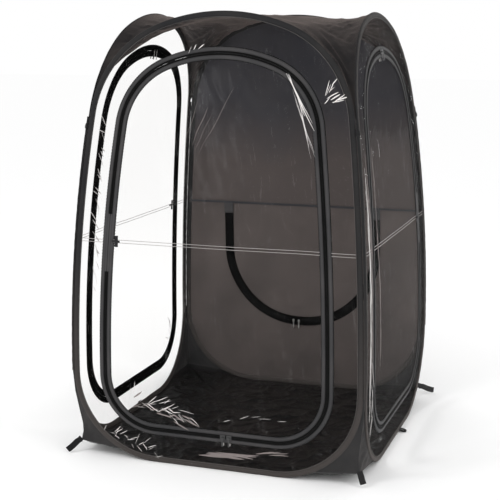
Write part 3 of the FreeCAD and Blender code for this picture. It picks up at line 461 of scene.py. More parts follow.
MATERIALS = {
    # Sleeve: painted light, its lower part lighter brown where the hoop's foot catches light from
    # above.
    "sleeve": cloth_material("sleeve_cloth", (0.012, 0.012, 0.0135), (0.021, 0.020, 0.020),
                             sheen_tint=(0.8, 0.72, 0.68),
                             low=((0.050, 0.043, 0.040), 0.45, 1.10)),
    "gusset": cloth_material("gusset_cloth", (0.018, 0.018, 0.019), (0.032, 0.030, 0.030),
                             sheen_tint=(0.8, 0.72, 0.68)),
    # Hem edge: a painted highlight, a thin light-brown line where the sleeve's hem catches light.
    "hem": cloth_material("hem_edge_highlight", (0.085, 0.078, 0.075), (0.13, 0.12, 0.115)),
    # Roof: charcoal cloth whose brown patches are partly painted highlight, standing in for the
    # brown sheen its wrinkles catch.
    "roof": cloth_material("roof_cloth", (0.010, 0.0095, 0.011), (0.036, 0.030, 0.028),
                           sheen=0.25, sheen_tint=(0.75, 0.6, 0.54)),
    # Upper wall: painted shade, dark blue-grey at the top in the roof's shadow, fading to the
    # wall's own brown below about 1.4 m.
    "upper": cloth_material("upper_wall_cloth", (0.031, 0.031, 0.038), (0.047, 0.045, 0.050),
                            sheen=0.05, patch_scale=2.5,
                            low=((0.076, 0.063, 0.060), 1.36, 1.68)),
    "lower": cloth_material("lower_wall_cloth", (0.068, 0.057, 0.054), (0.100, 0.083, 0.078),
                            sheen=0.05, patch_scale=3.5),
    "seam": cloth_material("seam_tape", (0.030, 0.031, 0.036), (0.045, 0.045, 0.050)),
    "floor": cloth_material("floor_cloth", (0.003, 0.003, 0.003), (0.008, 0.007, 0.007),
                            rough=0.34, sheen=0.0, bump=0.35, coat=0.6, shine=0.5),
    "binding": cloth_material("binding_cloth", (0.034, 0.034, 0.036), (0.056, 0.053, 0.054),
                              pitch=0.0014),
    "tape": cloth_material("zip_tape", (0.0015, 0.0015, 0.0015), (0.004, 0.004, 0.004),
                           pitch=0.001, sheen=0.0, shine=0.1),
    "webbing": cloth_material("webbing", (0.008, 0.008, 0.009), (0.020, 0.019, 0.020),
                              pitch=0.0016, bump=0.5),
    "front_film": film_material("front_film", 1.0, 0.035),
    "right_film": film_material("right_film", 5.0, 0.08),
    "left_film": film_material("left_film", 9.0, 0.03),
    # Painted glints: the folds' near-white strips and the dull pinkish-brown strips stand in for
    # light caught by creases in the film.
    "fold": hard_material("film_fold_glint", (0.62, 0.59, 0.57), 0.25, 0.0, (0.9, 0.88, 0.87)),
    "dim_glint": hard_material("film_shine", (0.16, 0.135, 0.13), 0.4, 0.0, (0.26, 0.22, 0.21)),
    "teeth": hard_material("zip_teeth", (0.002, 0.002, 0.002), 0.45, 0.0, (0.01, 0.01, 0.01),
                           shine=0.15),
    "slider": hard_material("slider_enamel", (0.02, 0.02, 0.021), 0.3, 0.4, (0.12, 0.12, 0.12)),
    "glint": hard_material("bare_metal", (0.35, 0.34, 0.33), 0.3, 1.0, (0.6, 0.58, 0.56)),
    "steel": hard_material("spring_steel", (0.30, 0.30, 0.32), 0.35, 1.0, (0.45, 0.45, 0.46)),
    "thread": hard_material("thread", (0.006, 0.006, 0.006), 0.6, 0.0, (0.02, 0.02, 0.02),
                            shine=0.1),
    # Weld beads: light grey, partly the doubled film and partly a painted highlight along the seam.
    "weld": hard_material("weld_bead_and_highlight", (0.42, 0.39, 0.38), 0.25, 0.0, (0.55, 0.52, 0.51)),
}


def settle(piece, body, kind, *nodes):
    """Attach a finished piece to its body and hide the CAD nodes it stands for."""
    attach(piece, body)
    if nodes:
        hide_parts(*nodes)
    return piece


def grid_piece(name, body, kind, points, along, across, *nodes, **loops):
    """A finished piece from a grid of points."""
    piece = grid_object(name, points, along, across, MATERIALS[kind], **loops)
    return settle(piece, body, kind, *nodes)


# ---------------------------------------------------------------- sleeves

def make_sleeve(wall):
    """A cloth tube round the steel hoop, with a flat stitched hem along the film."""
    turn = circle(16)
    middle = SLEEVE_DEPTH / 2
    tube_inset, tube_half, tube_thick = 0.0108, 0.0103, 0.0043
    hem_start, hem_stretch, hem_squash = 0.0155, 1.58, 0.55
    across = tube_inset - np.cos(turn) * tube_half
    into = middle - np.sin(turn) * tube_thick
    hem = across > hem_start
    across = np.where(hem, hem_start + (across - hem_start) * hem_stretch, across)
    into = np.where(hem, middle + (into - middle) * hem_squash, into)

    def ripple(run, insets, depths):
        pucker = noise(run * 34, insets * 60, TURNS[wall] % 7 + 3)
        slow = noise(run * 9, insets * 20, TURNS[wall] % 7 + 11)
        squeeze = 1 + 0.16 * pucker + 0.12 * slow
        return insets, np.clip(middle + (depths - middle) * squeeze, 0.0003, 0.0097)

    points, run = ring(wall, across, into, ripple=ripple, drops=0.0)
    girth = lengths(np.stack([across, into], -1), closed=True)
    grid_piece(wall + "_sleeve_cloth", ROOT, "sleeve", points, run, girth, wall + "_sleeve",
               loop_along=True, loop_across=True)
    # Painted highlight: a thin light band along the hem's inner edge.
    make_band(wall + "_hem_edge_highlight", wall, ROOT, "hem",
              band_section(HEM - 0.0026, HEM - 0.0012, 0.0012, 0.0034), drops=0.0)


# ------------------------------------------------------------------ films

def film_waves(x, z, seed):
    """How far soft film stands off its smooth surface, in metres."""
    broad = noise(x * 3.1 + 5, z * 1.7, seed)
    long_folds = creases(x * 10 + 0.35 * z * 10, z * 1.6, seed + 1)
    slant = creases(x * 5 - z * 4, z * 2.2 + x * 2.5, seed + 2)
    return 0.0018 * broad + 0.0011 * long_folds + 0.0009 * slant


def make_window(wall):
    """The film between a sleeve and the door's zip."""
    outer, inner = HEM - HEM_TUCK, ZIP_INSET - BINDING + TAPE_TUCK
    insets = np.linspace(outer, inner, 15)

    def ripple(run, across, depths):
        share = (across - outer) / (inner - outer)
        hold = np.sin(np.pi * share) ** 0.7
        folds = creases(run * 13, across * 9, TURNS[wall] % 11 + 20)
        gather = noise(run * 46, across * 12, TURNS[wall] % 11 + 40)
        edge = np.abs(share - 0.5) * 2
        return across, depths + hold * (0.0035 * folds + 0.0012 * gather * edge) - 0.0005

    shares = np.linspace(0, 1, len(insets))
    points, run = ring(wall, insets, FILM_DEPTH, ripple=ripple, drops=shares)
    piece = grid_object(wall + "_window_film", points, run, insets, MATERIALS[wall + "_film"],
                        loop_along=True)
    use_wall_uvs(piece, wall)
    settle(piece, ROOT, "film", wall + "_window")


def use_wall_uvs(piece, wall):
    """UVs that are the places across and up the wall, in metres."""
    mesh = piece.data
    points = np.zeros(len(mesh.vertices) * 3)
    mesh.vertices.foreach_get("co", points)
    points = turned(points.reshape(-1, 3), -TURNS[wall])
    corners = np.zeros(len(mesh.loops), int)
    mesh.loops.foreach_get("vertex_index", corners)
    mesh.uv_layers[0].data.foreach_set("uv", points[corners][:, [0, 2]].ravel())


def panel_grid(inset, low, high, rows, columns, drop=0.0):
    """Places over the area inside the hoop outline between two heights."""
    turn = np.linspace(0, math.pi, rows)
    up = low + (high - low) * (1 - np.cos(turn)) / 2
    half = half_width_at(up, inset, drop)
    share = np.linspace(-1, 1, columns)
    x = half[:, None] * share[None]
    z = np.repeat(up[:, None], columns, 1)
    edge = np.minimum(np.minimum(half[:, None] * (1 - np.abs(share[None])), z - low), high - z)
    return x, z, edge


def panel_object(name, wall, x, z, depth, material):
    points = on_wall(wall, x, z, depth)
    n, m = x.shape
    piece = grid_object(name, points, np.zeros(n), np.zeros(m), material)
    use_wall_uvs(piece, wall)
    return piece


def make_door_film(wall):
    """The door's own sheet of film."""
    inset = ZIP_INSET + BINDING - TAPE_TUCK
    x, z, edge = panel_grid(inset, inset, TOP - DOOR_DROP - inset, 150, 110, DOOR_DROP)
    waves = film_waves(x, z, TURNS[wall] % 13 + 60)
    depth = FILM_DEPTH + waves * ease(edge, 0.0, 0.05)
    piece = panel_object(wall + "_door_sheet", wall, x, z, depth, MATERIALS[wall + "_film"])
    settle(piece, wall + "_door", "film", wall + "_door_film")


def make_seams(wall):
    """Two thin weld beads across the film at mid height, on the window and the door, light grey
    partly from the doubled film and partly as a painted highlight.
    """
    bead = 0.0011
    turn = circle(8)
    door = half_width_at(SEAM_Z, ZIP_INSET + BINDING)
    side = half_width_at(SEAM_Z, ZIP_INSET - BINDING)
    hoop = half_width_at(SEAM_Z, HEM)
    spans = [("left", ROOT, -hoop, -side), ("right", ROOT, side, hoop),
             ("door", wall + "_door", -door, door)]
    for name, body, start, end in spans:
        for which, rise in (("upper", 0.0055), ("lower", -0.0055)):
            x = np.linspace(start, end, max(6, int((end - start) / 0.01)))
            wander = 0.0012 * noise(x * 7, x * 0 + 0.5, 5 + len(name)) + rise
            z = SEAM_Z + wander[:, None] + np.sin(turn)[None] * bead
            depth = FILM_DEPTH - 0.0006 - np.cos(turn)[None] * bead
            points = on_wall(wall, x[:, None], z, depth)
            grid_piece("%s_seam_%s_%s" % (wall, name, which), body, "weld", points, x,
                       turn * bead)


# Hard folds in the films, light strips painted as the glints their creases catch: wall, body,
# material, first and last place, how many, first and last turn from upright, length and width.
FOLDS = [
    ("front", "front_door", "fold", (0.258, 1.522), (0.270, 1.516), 4, 150, 156, 0.30, 0.0040),
    ("front", "front_door", "fold", (0.285, 1.470), (0.318, 1.400), 5, 158, 165, 0.27, 0.0022),
    ("front", "front_door", "dim_glint", (-0.120, 1.280), (-0.070, 1.220), 4, 18, 28, 0.280, 0.0024),
    ("front", ROOT, "fold", (0.408, 1.446), (0.448, 1.420), 7, 28, 78, 0.052, 0.0046),
    ("front", ROOT, "fold", (0.412, 1.425), (0.440, 1.462), 4, 45, 30, 0.036, 0.0036),
    ("front", ROOT, "fold", (-0.135, 1.600), (-0.085, 1.606), 3, 20, 42, 0.028, 0.0030),
    ("front", "front_door", "fold", (-0.35, 0.27), (-0.14, 0.21), 16, 20, 90, 0.060, 0.0026),
    ("front", "front_door", "fold", (-0.32, 0.25), (-0.10, 0.19), 16, 95, 150, 0.055, 0.0026),
    ("front", "front_door", "dim_glint", (-0.34, 0.24), (-0.12, 0.18), 12, 60, 120, 0.070, 0.0060),
    ("front", ROOT, "fold", (-0.46, 0.12), (-0.24, 0.040), 13, 45, 70, 0.050, 0.0022),
    ("front", ROOT, "fold", (-0.43, 0.11), (-0.26, 0.055), 9, 120, 150, 0.035, 0.0022),
    ("front", ROOT, "dim_glint", (-0.060, 0.056), (0.020, 0.072), 7, 86, 91, 0.190, 0.0090),
    ("front", ROOT, "dim_glint", (0.180, 0.086), (0.240, 0.092), 4, 78, 84, 0.110, 0.0060),
    ("front", "front_door", "fold", (0.060, 0.215), (0.260, 0.235), 5, 70, 85, 0.050, 0.0016),
    ("right", ROOT, "fold", (-0.500, 1.180), (-0.515, 0.520), 20, 176, 184, 0.260, 0.0030),
    ("right", ROOT, "dim_glint", (-0.470, 1.240), (-0.490, 0.560), 18, 174, 186, 0.220, 0.0060),
    ("right", ROOT, "fold", (-0.500, 0.460), (-0.470, 0.230), 9, 165, 200, 0.080, 0.0024),
    ("right", "right_door", "dim_glint", (-0.370, 1.250), (-0.350, 0.560), 16, 176, 184, 0.200, 0.0040),
    ("left", ROOT, "fold", (0.390, 0.620), (0.378, 1.300), 22, 35, 50, 0.075, 0.0065),
    ("left", ROOT, "fold", (-0.410, 0.300), (-0.360, 0.240), 5, 30, 60, 0.060, 0.0045),
]


def make_folds(number, wall, body, kind, first, last, count, turn, last_turn, length, width):
    """Thin tapered creases standing on a film's near side, spread along a line, coloured as painted
    glints.
    """
    chance = np.random.default_rng(700 + number)
    share = np.linspace(0, 1, count)
    start = np.array(first) + share[:, None] * (np.array(last) - np.array(first))
    scatter, spread = (0.010, 13) if length < 0.1 else (0.004, 1.5)
    start = start + chance.normal(0, scatter, start.shape)
    angle = np.radians(turn + share * (last_turn - turn) + chance.normal(0, spread, count))
    reach = length * chance.uniform(0.5, 1.1, count)
    thick = width * chance.uniform(0.4, 1.1, count)
    run = np.linspace(0, 1, 17)
    # The left wall is seen from inside the tent, so its creases stand on that side.
    depth = (0.0120 if wall == "left" else 0.0015) - 0.0006 * np.array([0, 1, 0])
    strips = []
    for index in range(count):
        way = np.array([math.sin(angle[index]), math.cos(angle[index])])
        side = np.array([way[1], -way[0]])
        bend = 0.02 * reach[index] * noise(run * 2 + index, run * 0 + 0.5, number)
        line = start[index] + run[:, None] * reach[index] * way + bend[:, None] * side
        half = thick[index] / 2 * np.sin(np.pi * np.clip(run, 0.02, 0.98)) ** 0.5
        edges = line[:, None] + half[:, None, None] * np.array([-1, 0, 1])[None, :, None] * side
        strips.append(on_wall(wall, edges[..., 0], edges[..., 1], depth).reshape(-1, 3))
    mesh = bpy.data.meshes.new("folds")
    base = np.arange(len(run) - 1)[:, None] * 3 + np.arange(2)
    quads = np.stack([base, base + 3, base + 4, base + 1], -1).reshape(-1, 4)
    faces = np.vstack([quads + len(strips[0]) * index for index in range(count)])
    mesh.from_pydata(np.vstack(strips).tolist(), [], faces.tolist())
    name = "%s_folds_%d" % (wall, number)
    settle(finish_mesh(name, mesh, MATERIALS[kind]), body, kind)


# ------------------------------------------------------- bindings and zips

def band_section(start, end, near, far):
    """A closed, round-edged section of a flat band, as insets and depths."""
    middle, half = (near + far) / 2, (far - near) / 2
    turn = np.linspace(-math.pi / 2, math.pi / 2, 5)
    right = np.stack([end - half + np.cos(turn) * half, middle + np.sin(turn) * half], -1)
    left = np.stack([start + half - np.cos(turn) * half, middle - np.sin(turn) * half], -1)
    return np.vstack([right, left])


def make_band(name, wall, body, kind, section, nodes=(), keep=None, pucker=0.0, seed=1,
              drops=1.0, jag=0.0):
    """A band of tape round a hoop, with a closed section and, if asked, a jagged edge."""
    away = np.abs(section[:, 0] - ZIP_INSET)

    def ripple(run, insets, depths):
        bump = noise(run * 60, insets * 90, seed) * pucker
        tooth = np.abs((run / JAG_PITCH) % 1 * 2 - 1) * jag
        outwards = np.sign(insets - ZIP_INSET) * ease(away, away.max() - 0.004, away.max())
        return insets + outwards * tooth, depths + bump

    step = STEP / 2 if jag else STEP
    points, run = ring(wall, section[:, 0], section[:, 1], step, ripple, keep, drops)
    girth = lengths(section, closed=True)
    piece = grid_piece(name, body, kind, points, run, girth, *nodes, loop_along=keep is None,
                       loop_across=True)
    if keep is not None:
        cap_ends(piece.data, len(section), len(run))


def cap_ends(mesh, girth, rows):
    """Close the two open ends of a swept tube."""
    work = bmesh.new()
    work.from_mesh(mesh)
    work.verts.ensure_lookup_table()
    work.faces.new([work.verts[i] for i in range(girth)])
    last = (rows - 1) * girth
    work.faces.new([work.verts[last + i] for i in reversed(range(girth))])
    work.to_mesh(mesh)
    work.free()


def box_field(name, centres, along, out, size, material):
    """Many small bevelled blocks: centres, their long way, their outward way."""
    along = unit(along)
    side = unit(np.cross(out, along))
    a, b, c = (value / 2 for value in size)
    ring_points = [(-1, -1), (1, -1), (1, 1), (-1, 1)]
    template = [(sx * a, sy * b, -c) for sx, sy in ring_points]
    template += [(sx * a, sy * b, c * 0.4) for sx, sy in ring_points]
    template += [(sx * a * 0.7, sy * b * 0.7, c) for sx, sy in ring_points]
    template = np.array(template)
    axes = np.stack([along, side, out], 1)
    points = centres[:, None] + np.einsum("kj,njd->nkd", template, axes)
    faces = [(3, 2, 1, 0), (8, 9, 10, 11)]
    for level in (0, 4):
        for k in range(4):
            after = (k + 1) % 4
            faces.append((level + k, level + after, level + 4 + after, level + 4 + k))
    faces = np.array(faces)
    offsets = (np.arange(len(centres)) * len(template))[:, None, None]
    mesh = bpy.data.meshes.new(name)
    faces = (faces[None] + offsets).reshape(-1, 4)
    mesh.from_pydata(points.reshape(-1, 3).tolist(), [], faces.tolist())
    return finish_mesh(name, mesh, material, smooth=False)


def row_points(points, pitch):
    """Evenly spaced places along a line, with the way it runs at each."""
    run = lengths(points)
    at = np.arange(pitch / 2, run[-1], pitch)
    ahead, behind = (places_at(at + reach, run, points) for reach in (0.002, -0.002))
    return places_at(at, run, points), ahead - behind


def blocks_on_ring(name, wall, body, kind, inset, depth, pitch, size, keep=None):
    """Teeth or stitches in a row round a hoop."""
    line, under = (ring(wall, np.array([inset]), np.array([deep]), keep=keep)[0][:, 0]
                   for deep in (depth, depth + 0.01))
    if keep is None:
        line, under = np.vstack([line, line[:1]]), np.vstack([under, under[:1]])
    places, along = row_points(line, pitch)
    below, _ = row_points(under, pitch)
    count = min(len(places), len(below))
    spot = np.linspace(0, 1, count)
    below = places_at(spot, np.linspace(0, 1, len(below)), below)
    places, along = places[:count], along[:count]
    out = places - below
    out -= along * (np.sum(out * along, 1) / np.sum(along * along, 1))[:, None]
    settle(box_field(name, places, along, unit(out), size, MATERIALS[kind]), body, kind)


def make_door_edge(wall):
    """Bindings, zip tapes, teeth and stitches on both sides of a door's zip."""
    door = wall + "_door"
    keep = has_zip(wall)
    half_gap = ZIP_GAP / 2
    sides = [("_wall", ROOT, -1, "_window"), ("_leaf", door, 1, "_door")]
    for suffix, body, way, node in sides:
        edge = ZIP_INSET + way * half_gap
        name = wall + suffix

        def span(reach, near, far):
            start, end = sorted((edge, edge + way * reach))
            return band_section(start, end, near, far)

        make_band(name + "_tape", wall, body, "binding", span(BINDING, 0.0030, 0.0060),
                  [wall + node + "_binding"], pucker=0.0003, seed=71)
        make_band(name + "_backing", wall, body, "tape", span(BINDING + 0.0012, 0.0062, 0.0072),
                  jag=0.0022)
        make_band(name + "_zip", wall, body, "tape", span(ROW, 0.0017, 0.0028),
                  [wall + node + "_zip"], keep=keep)
        blocks_on_ring(name + "_teeth", wall, body, "teeth", edge + way * 0.0023, 0.0014,
                       TOOTH_PITCH, DOOR_TOOTH, keep=keep)
        for which, inset in (("a", BINDING - 0.0022), ("b", ROW + 0.0022)):
            blocks_on_ring("%s_stitch_%s" % (name, which), wall, body, "thread",
                           edge + way * inset, 0.0029, STITCH_PITCH, STITCH)


# -------------------------------------------------------------- back wall

def flap_curve(grow, step=STEP):
    """The U round the back flap from its right top end down and round."""
    inner = FLAP_HALF - FLAP_CORNER
    centre_z = FLAP_BOTTOM + FLAP_CORNER
    radius = FLAP_CORNER + grow
    half = FLAP_HALF + grow
    top = SEAM_Z - 0.0006
    count = int((top - centre_z) / step)
    right = np.stack([np.full(count, half), np.linspace(top, centre_z, count, endpoint=False)], -1)
    turn = np.linspace(0, -math.pi / 2, int(FLAP_CORNER * 1.57 / step), endpoint=False)
    bend = np.stack([inner + radius * np.cos(turn), centre_z + radius * np.sin(turn)], -1)
    flat_count = int(inner / step)
    low = FLAP_BOTTOM - grow
    flat = np.stack([np.linspace(inner, 0, flat_count, endpoint=False),
                     np.full(flat_count, low)], -1)
    first = np.vstack([right, bend, flat])
    return np.vstack([first, [[0, low]], first[::-1] * [-1, 1]])


def make_flap_band(name, body, kind, insides, depths, nodes=()):
    """A band of tape along the flap's U, from section points."""
    columns = [flap_curve(grow) for grow in insides]
    flat = np.stack(columns, 1)
    points = on_wall("back", flat[..., 0], flat[..., 1], np.array(depths)[None])
    run = lengths(columns[0])
    girth = lengths(np.stack([insides, depths], -1), closed=True)
    piece = grid_piece(name, body, kind, points, run, girth, *nodes, loop_across=True)
    cap_ends(piece.data, len(insides), len(run))


def flap_distance(x, z):
    """Distance from the U, negative inside it."""
    dx = np.clip(np.abs(x) - (FLAP_HALF - FLAP_CORNER), 0, None)
    dz = np.clip(FLAP_BOTTOM + FLAP_CORNER - z, 0, None)
    return np.hypot(dx, dz) - FLAP_CORNER


def wall_depth(x, z, edge, seed):
    """Depth of the slack cloth back wall, held flat at its seams and its zip."""
    broad = noise(x * 2.4, z * 1.6, seed)
    folds = creases(x * 7 + z * 2, z * 2.6, seed + 1)
    hold = ease(edge, 0, 0.06)
    hold = hold * np.where(z < SEAM_Z, ease(np.abs(flap_distance(x, z)), 0.02, 0.08), 1)
    return FILM_DEPTH - 0.0015 + (0.0030 * broad + 0.0022 * folds) * hold


def make_upper_wall():
    """The upper cloth panel."""
    inset = HEM - HEM_TUCK
    x, z, edge = panel_grid(inset, SEAM_Z - 0.004, TOP - inset, 70, 110)
    depth = wall_depth(x, z, edge, 80)
    upper = panel_object("back_upper_cloth", "back", x, z, depth, MATERIALS["upper"])
    settle(upper, ROOT, "upper", "back_wall_upper")


def make_lower_wall():
    """The lower cloth panel with its U-shaped opening, cut from a fine grid."""
    inset = HEM - HEM_TUCK
    x, z, edge = panel_grid(inset, inset, SEAM_Z, 110, 150)
    lower = panel_object("back_lower_cloth", "back", x, z, wall_depth(x, z, edge, 84),
                         MATERIALS["lower"])
    grow = ZIP_GAP / 2 + FLAP_TAPE - WALL_GAP
    inside = flap_distance(x.ravel(), z.ravel()) < grow
    work = bmesh.new()
    work.from_mesh(lower.data)
    gone = [face for face in work.faces if all(inside[v.index] for v in face.verts)]
    bmesh.ops.delete(work, geom=gone, context="FACES")
    work.to_mesh(lower.data)
    work.free()
    settle(lower, ROOT, "lower", "back_wall_lower")


def make_flap():
    """The flap's own cloth."""
    grow = -(ZIP_GAP / 2 + FLAP_TAPE - TAPE_TUCK)
    rows, columns = 70, 90
    low = FLAP_BOTTOM - grow
    high = SEAM_Z - 0.0012
    turn = np.linspace(0, math.pi / 2, rows)
    up = low + (high - low) * (1 - np.cos(turn))
    curve = flap_curve(grow)
    right = curve[: len(curve) // 2 + 1][::-1]
    half = np.interp(up, right[:, 1], right[:, 0])
    half[0] = FLAP_HALF - FLAP_CORNER
    share = np.linspace(-1, 1, columns)[None]
    x = half[:, None] * share
    z = np.repeat(up[:, None], columns, 1)
    edge = np.minimum(half[:, None] * (1 - np.abs(share)), np.minimum(z - low, high - z))
    depth = wall_depth(x, z, edge, 84)
    flap = panel_object("back_flap_cloth", "back", x, z, depth, MATERIALS["lower"])
    settle(flap, "back_flap", "lower", "back_flap")


def make_flap_zip():
    """The tapes and teeth round the flap, and the strip that covers them inside."""
    gap = ZIP_GAP / 2
    for name, body, way, node in (("back_wall_tape", ROOT, 1, "back_wall_zip"),
                                  ("back_flap_tape", "back_flap", -1, "back_flap_zip")):
        start, end = sorted((way * gap, way * (gap + FLAP_TAPE)))
        section = band_section(start, end, 0.0030, 0.0066)
        make_flap_band(name, body, "tape", section[:, 0], section[:, 1], [node])
        line = flap_curve(way * 0.0030)
        places, along = row_points(on_wall("back", line[:, 0], line[:, 1], 0.0026), TOOTH_PITCH)
        below, _ = row_points(on_wall("back", line[:, 0], line[:, 1], 0.0126), TOOTH_PITCH)
        count = min(len(places), len(below))
        out = unit(places[:count] - below[:count])
        teeth = box_field(name + "_teeth", places[:count], along[:count], out,
                          FLAP_TOOTH, MATERIALS["teeth"])
        settle(teeth, body, "teeth")
    cover = band_section(-0.016, 0.019, 0.0069, 0.0078)
    make_flap_band("back_zip_cover", ROOT, "tape", cover[:, 0], cover[:, 1])


def make_back_trim():
    """Seam tape across the back wall and stiff patches over the zip's ends, on the inside."""
    side = half_width_at(SEAM_Z, HEM)
    strips = [("back_seam_tape", "seam", -side, side, SEAM_Z - 0.004, SEAM_Z + 0.005)]
    for name, way in (("left", -1), ("right", 1)):
        start, end = sorted((way * (FLAP_HALF - 0.022), way * (FLAP_HALF + 0.022)))
        strips.append(("back_patch_" + name, "binding", start, end, SEAM_Z - 0.052, SEAM_Z - 0.003))
    for name, kind, start, end, low, high in strips:
        x, z = np.meshgrid(np.linspace(start, end, 40), np.linspace(low, high, 8))
        skins = [on_wall("back", x, z, depth) for depth in (0.0080, 0.0090)]
        points = np.vstack([skins[0], skins[1][::-1]])
        grid_piece(name, ROOT, kind, points, np.arange(17) * 0.004, x[0], loop_along=True)


def make_inner_pulls():
    """The sliders' second pulls, which hang inside the tent."""
    for wall in ("back", "left", "front", "right"):
        for which in "ab":
            body = "%s_slider_%s" % (wall, which)
            low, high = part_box(body)
            middle = turned(np.array([(low[k] + high[k]) / 2 for k in range(3)]), -TURNS[wall])
            x, z = middle[0], middle[2]
            rows = [(0.0045, 0.006), (0.0045, -0.004), (0.0022, -0.010), (0.0030, -0.024),
                    (0.0034, -0.034), (0.0016, -0.038)]
            half = np.array([w for w, _ in rows])
            up = z + np.array([h for _, h in rows])
            across = np.array([-1.0, -0.6, 0.6, 1.0, 0.6, -0.6])
            thick = np.array([0, -1, -1, 0, 1, 1]) * 0.0009
            points = on_wall(wall, x + half[:, None] * across[None], up[:, None] + 0 * across,
                             INNER_PULL_DEPTH + 0 * up[:, None] + thick[None])
            piece = grid_piece(body + "_inner_pull", body, "glint", points, up,
                               np.arange(7) * 0.001, loop_across=True)
            cap_ends(piece.data, 6, 6)


# ------------------------------------------------------------------- roof

def roof_side(turn, share):
    """The roof's edge under one arch, from share 0 to 1 along it."""
    inset, depth = 0.003, 0.0075
    places, inward = hoop_curve(0.003)
    edge = places + inward * inset
    joint = 1.3585
    upper = edge[edge[:, 1] > joint]
    run = lengths(upper)
    at = (1 - share) * run[-1]
    x, z = np.interp(at, run, upper[:, 0]), np.interp(at, run, upper[:, 1])
    back = BOW - HALF - np.sqrt((BOW - depth) ** 2 - (z - WIDE_Z) ** 2)
    return turned(np.stack([x, back, z], -1), turn)


def make_roof():
    """A cloth skin pulled tight between the four arches, creased at the joints."""
    count = 97
    share = np.linspace(0, 1, count)
    grid = np.zeros((count, count, 3))
    grid[:, 0] = roof_side(0, share)
    grid[-1, :] = roof_side(90, share)
    grid[::-1, -1] = roof_side(180, share)
    grid[0, ::-1] = roof_side(-90, share)
    u, v = share[:, None, None], share[None, :, None]
    across = grid[:1] * (1 - u) + grid[-1:] * u
    along = grid[:, :1] * (1 - v) + grid[:, -1:] * v
    corners = (grid[:1, :1] * (1 - u) * (1 - v) + grid[-1:, :1] * u * (1 - v)
               + grid[:1, -1:] * (1 - u) * v + grid[-1:, -1:] * u * v)
    grid[1:-1, 1:-1] = (across + along - corners)[1:-1, 1:-1]
    for _ in range(4000):
        grid[1:-1, 1:-1] = (grid[:-2, 1:-1] + grid[2:, 1:-1] + grid[1:-1, :-2]
                            + grid[1:-1, 2:]) / 4
    normal = unit(np.cross(np.gradient(grid, axis=0), np.gradient(grid, axis=1)))
    x, y = grid[..., 0], grid[..., 1]
    angle = np.arctan2(np.abs(y), np.abs(x))
    radius = np.hypot(x, y)
    pull = ease(radius, 0.25, 0.6) * ease(np.minimum(angle, math.pi / 2 - angle), 0.05, 0.5)
    rays = creases(angle * 26, radius * 3, 90) - 0.4
    edge = np.minimum(np.minimum(share[:, None], 1 - share[:, None]),
                      np.minimum(share[None], 1 - share[None])) + 0 * x
    slack = 0.004 * noise(x * 6, y * 6, 91) + 0.012 * pull * rays
    slack += 0.003 * creases(x * 9 + y * 4, y * 5 - x * 3, 92)
    grid = grid + normal * (slack * ease(edge, 0, 0.06))[..., None]
    run = np.linspace(0, 1.3, count)
    roof = grid_piece("roof_cloth", ROOT, "roof", grid, run, run, "roof")


# -------------------------------------------------------- floor, corners

def floor_edge(share):
    """The floor's front edge: across, into the tent and up, from corner to corner."""
    tip = TIP_HALF - 0.002
    x = share * tip
    far = np.abs(x)
    over = np.clip(far - FOOT_X, 0, FOOT - 0.001)
    arch = FOOT - np.sqrt(FOOT ** 2 - over ** 2)
    start = FOOT_X + math.sqrt(FOOT ** 2 - (FOOT - GUSSET_START_Z) ** 2)
    line = GUSSET_START_Z + (TIP_Z - GUSSET_START_Z) * (far - start) / (tip - start)
    up = np.where(far < start, arch, line) + FLOOR_Z
    inner = HALF - SLEEVE_DEPTH - 0.0012
    up = up + np.interp(far, [FOOT_X, FOOT_X + 0.08], [0.0, 0.004])
    return x, -np.interp(far, [start, tip], [inner, tip]), up


def make_floor():
    """A coated floor sheet: slack and crumpled, its corners lifted to the tips."""
    count = 181
    share = np.linspace(-1, 1, count)
    u, v = np.meshgrid(share, share, indexing="ij")
    _, reach, up = floor_edge(share)
    px = u * np.interp(v, share, -reach)
    py = v * np.interp(u, share, -reach)
    lift_u = np.interp(u, share, up)
    lift_v = np.interp(v, share, up)
    gap_v = (1 - np.abs(v)) * HALF
    gap_u = (1 - np.abs(u)) * HALF
    lift = np.maximum(lift_u * np.exp(-gap_v / 0.05), lift_v * np.exp(-gap_u / 0.05))
    crumple = 0.010 * creases(px * 6 + 3, py * 6 - 2, 100) ** 1.5
    crumple += 0.006 * creases(px * 13, py * 13, 101)
    crumple += 0.005 * np.clip(noise(px * 3, py * 3, 102), 0, 1)
    hold = ease(np.minimum(gap_u, gap_v), 0.0, 0.06)
    pz = FLOOR_Z + np.maximum(lift - FLOOR_Z, 0) + crumple * hold
    run = (share + 1) * HALF
    points = np.stack([px, py, pz], -1)
    floor = grid_piece("floor_sheet", ROOT, "floor", points, run, run, "floor")


def corner_out(up, depth):
    """How far the bowed corner stands from the middle at heights, less a depth."""
    return HALF - (up - WIDE_Z) ** 2 / (2 * BOW) - depth


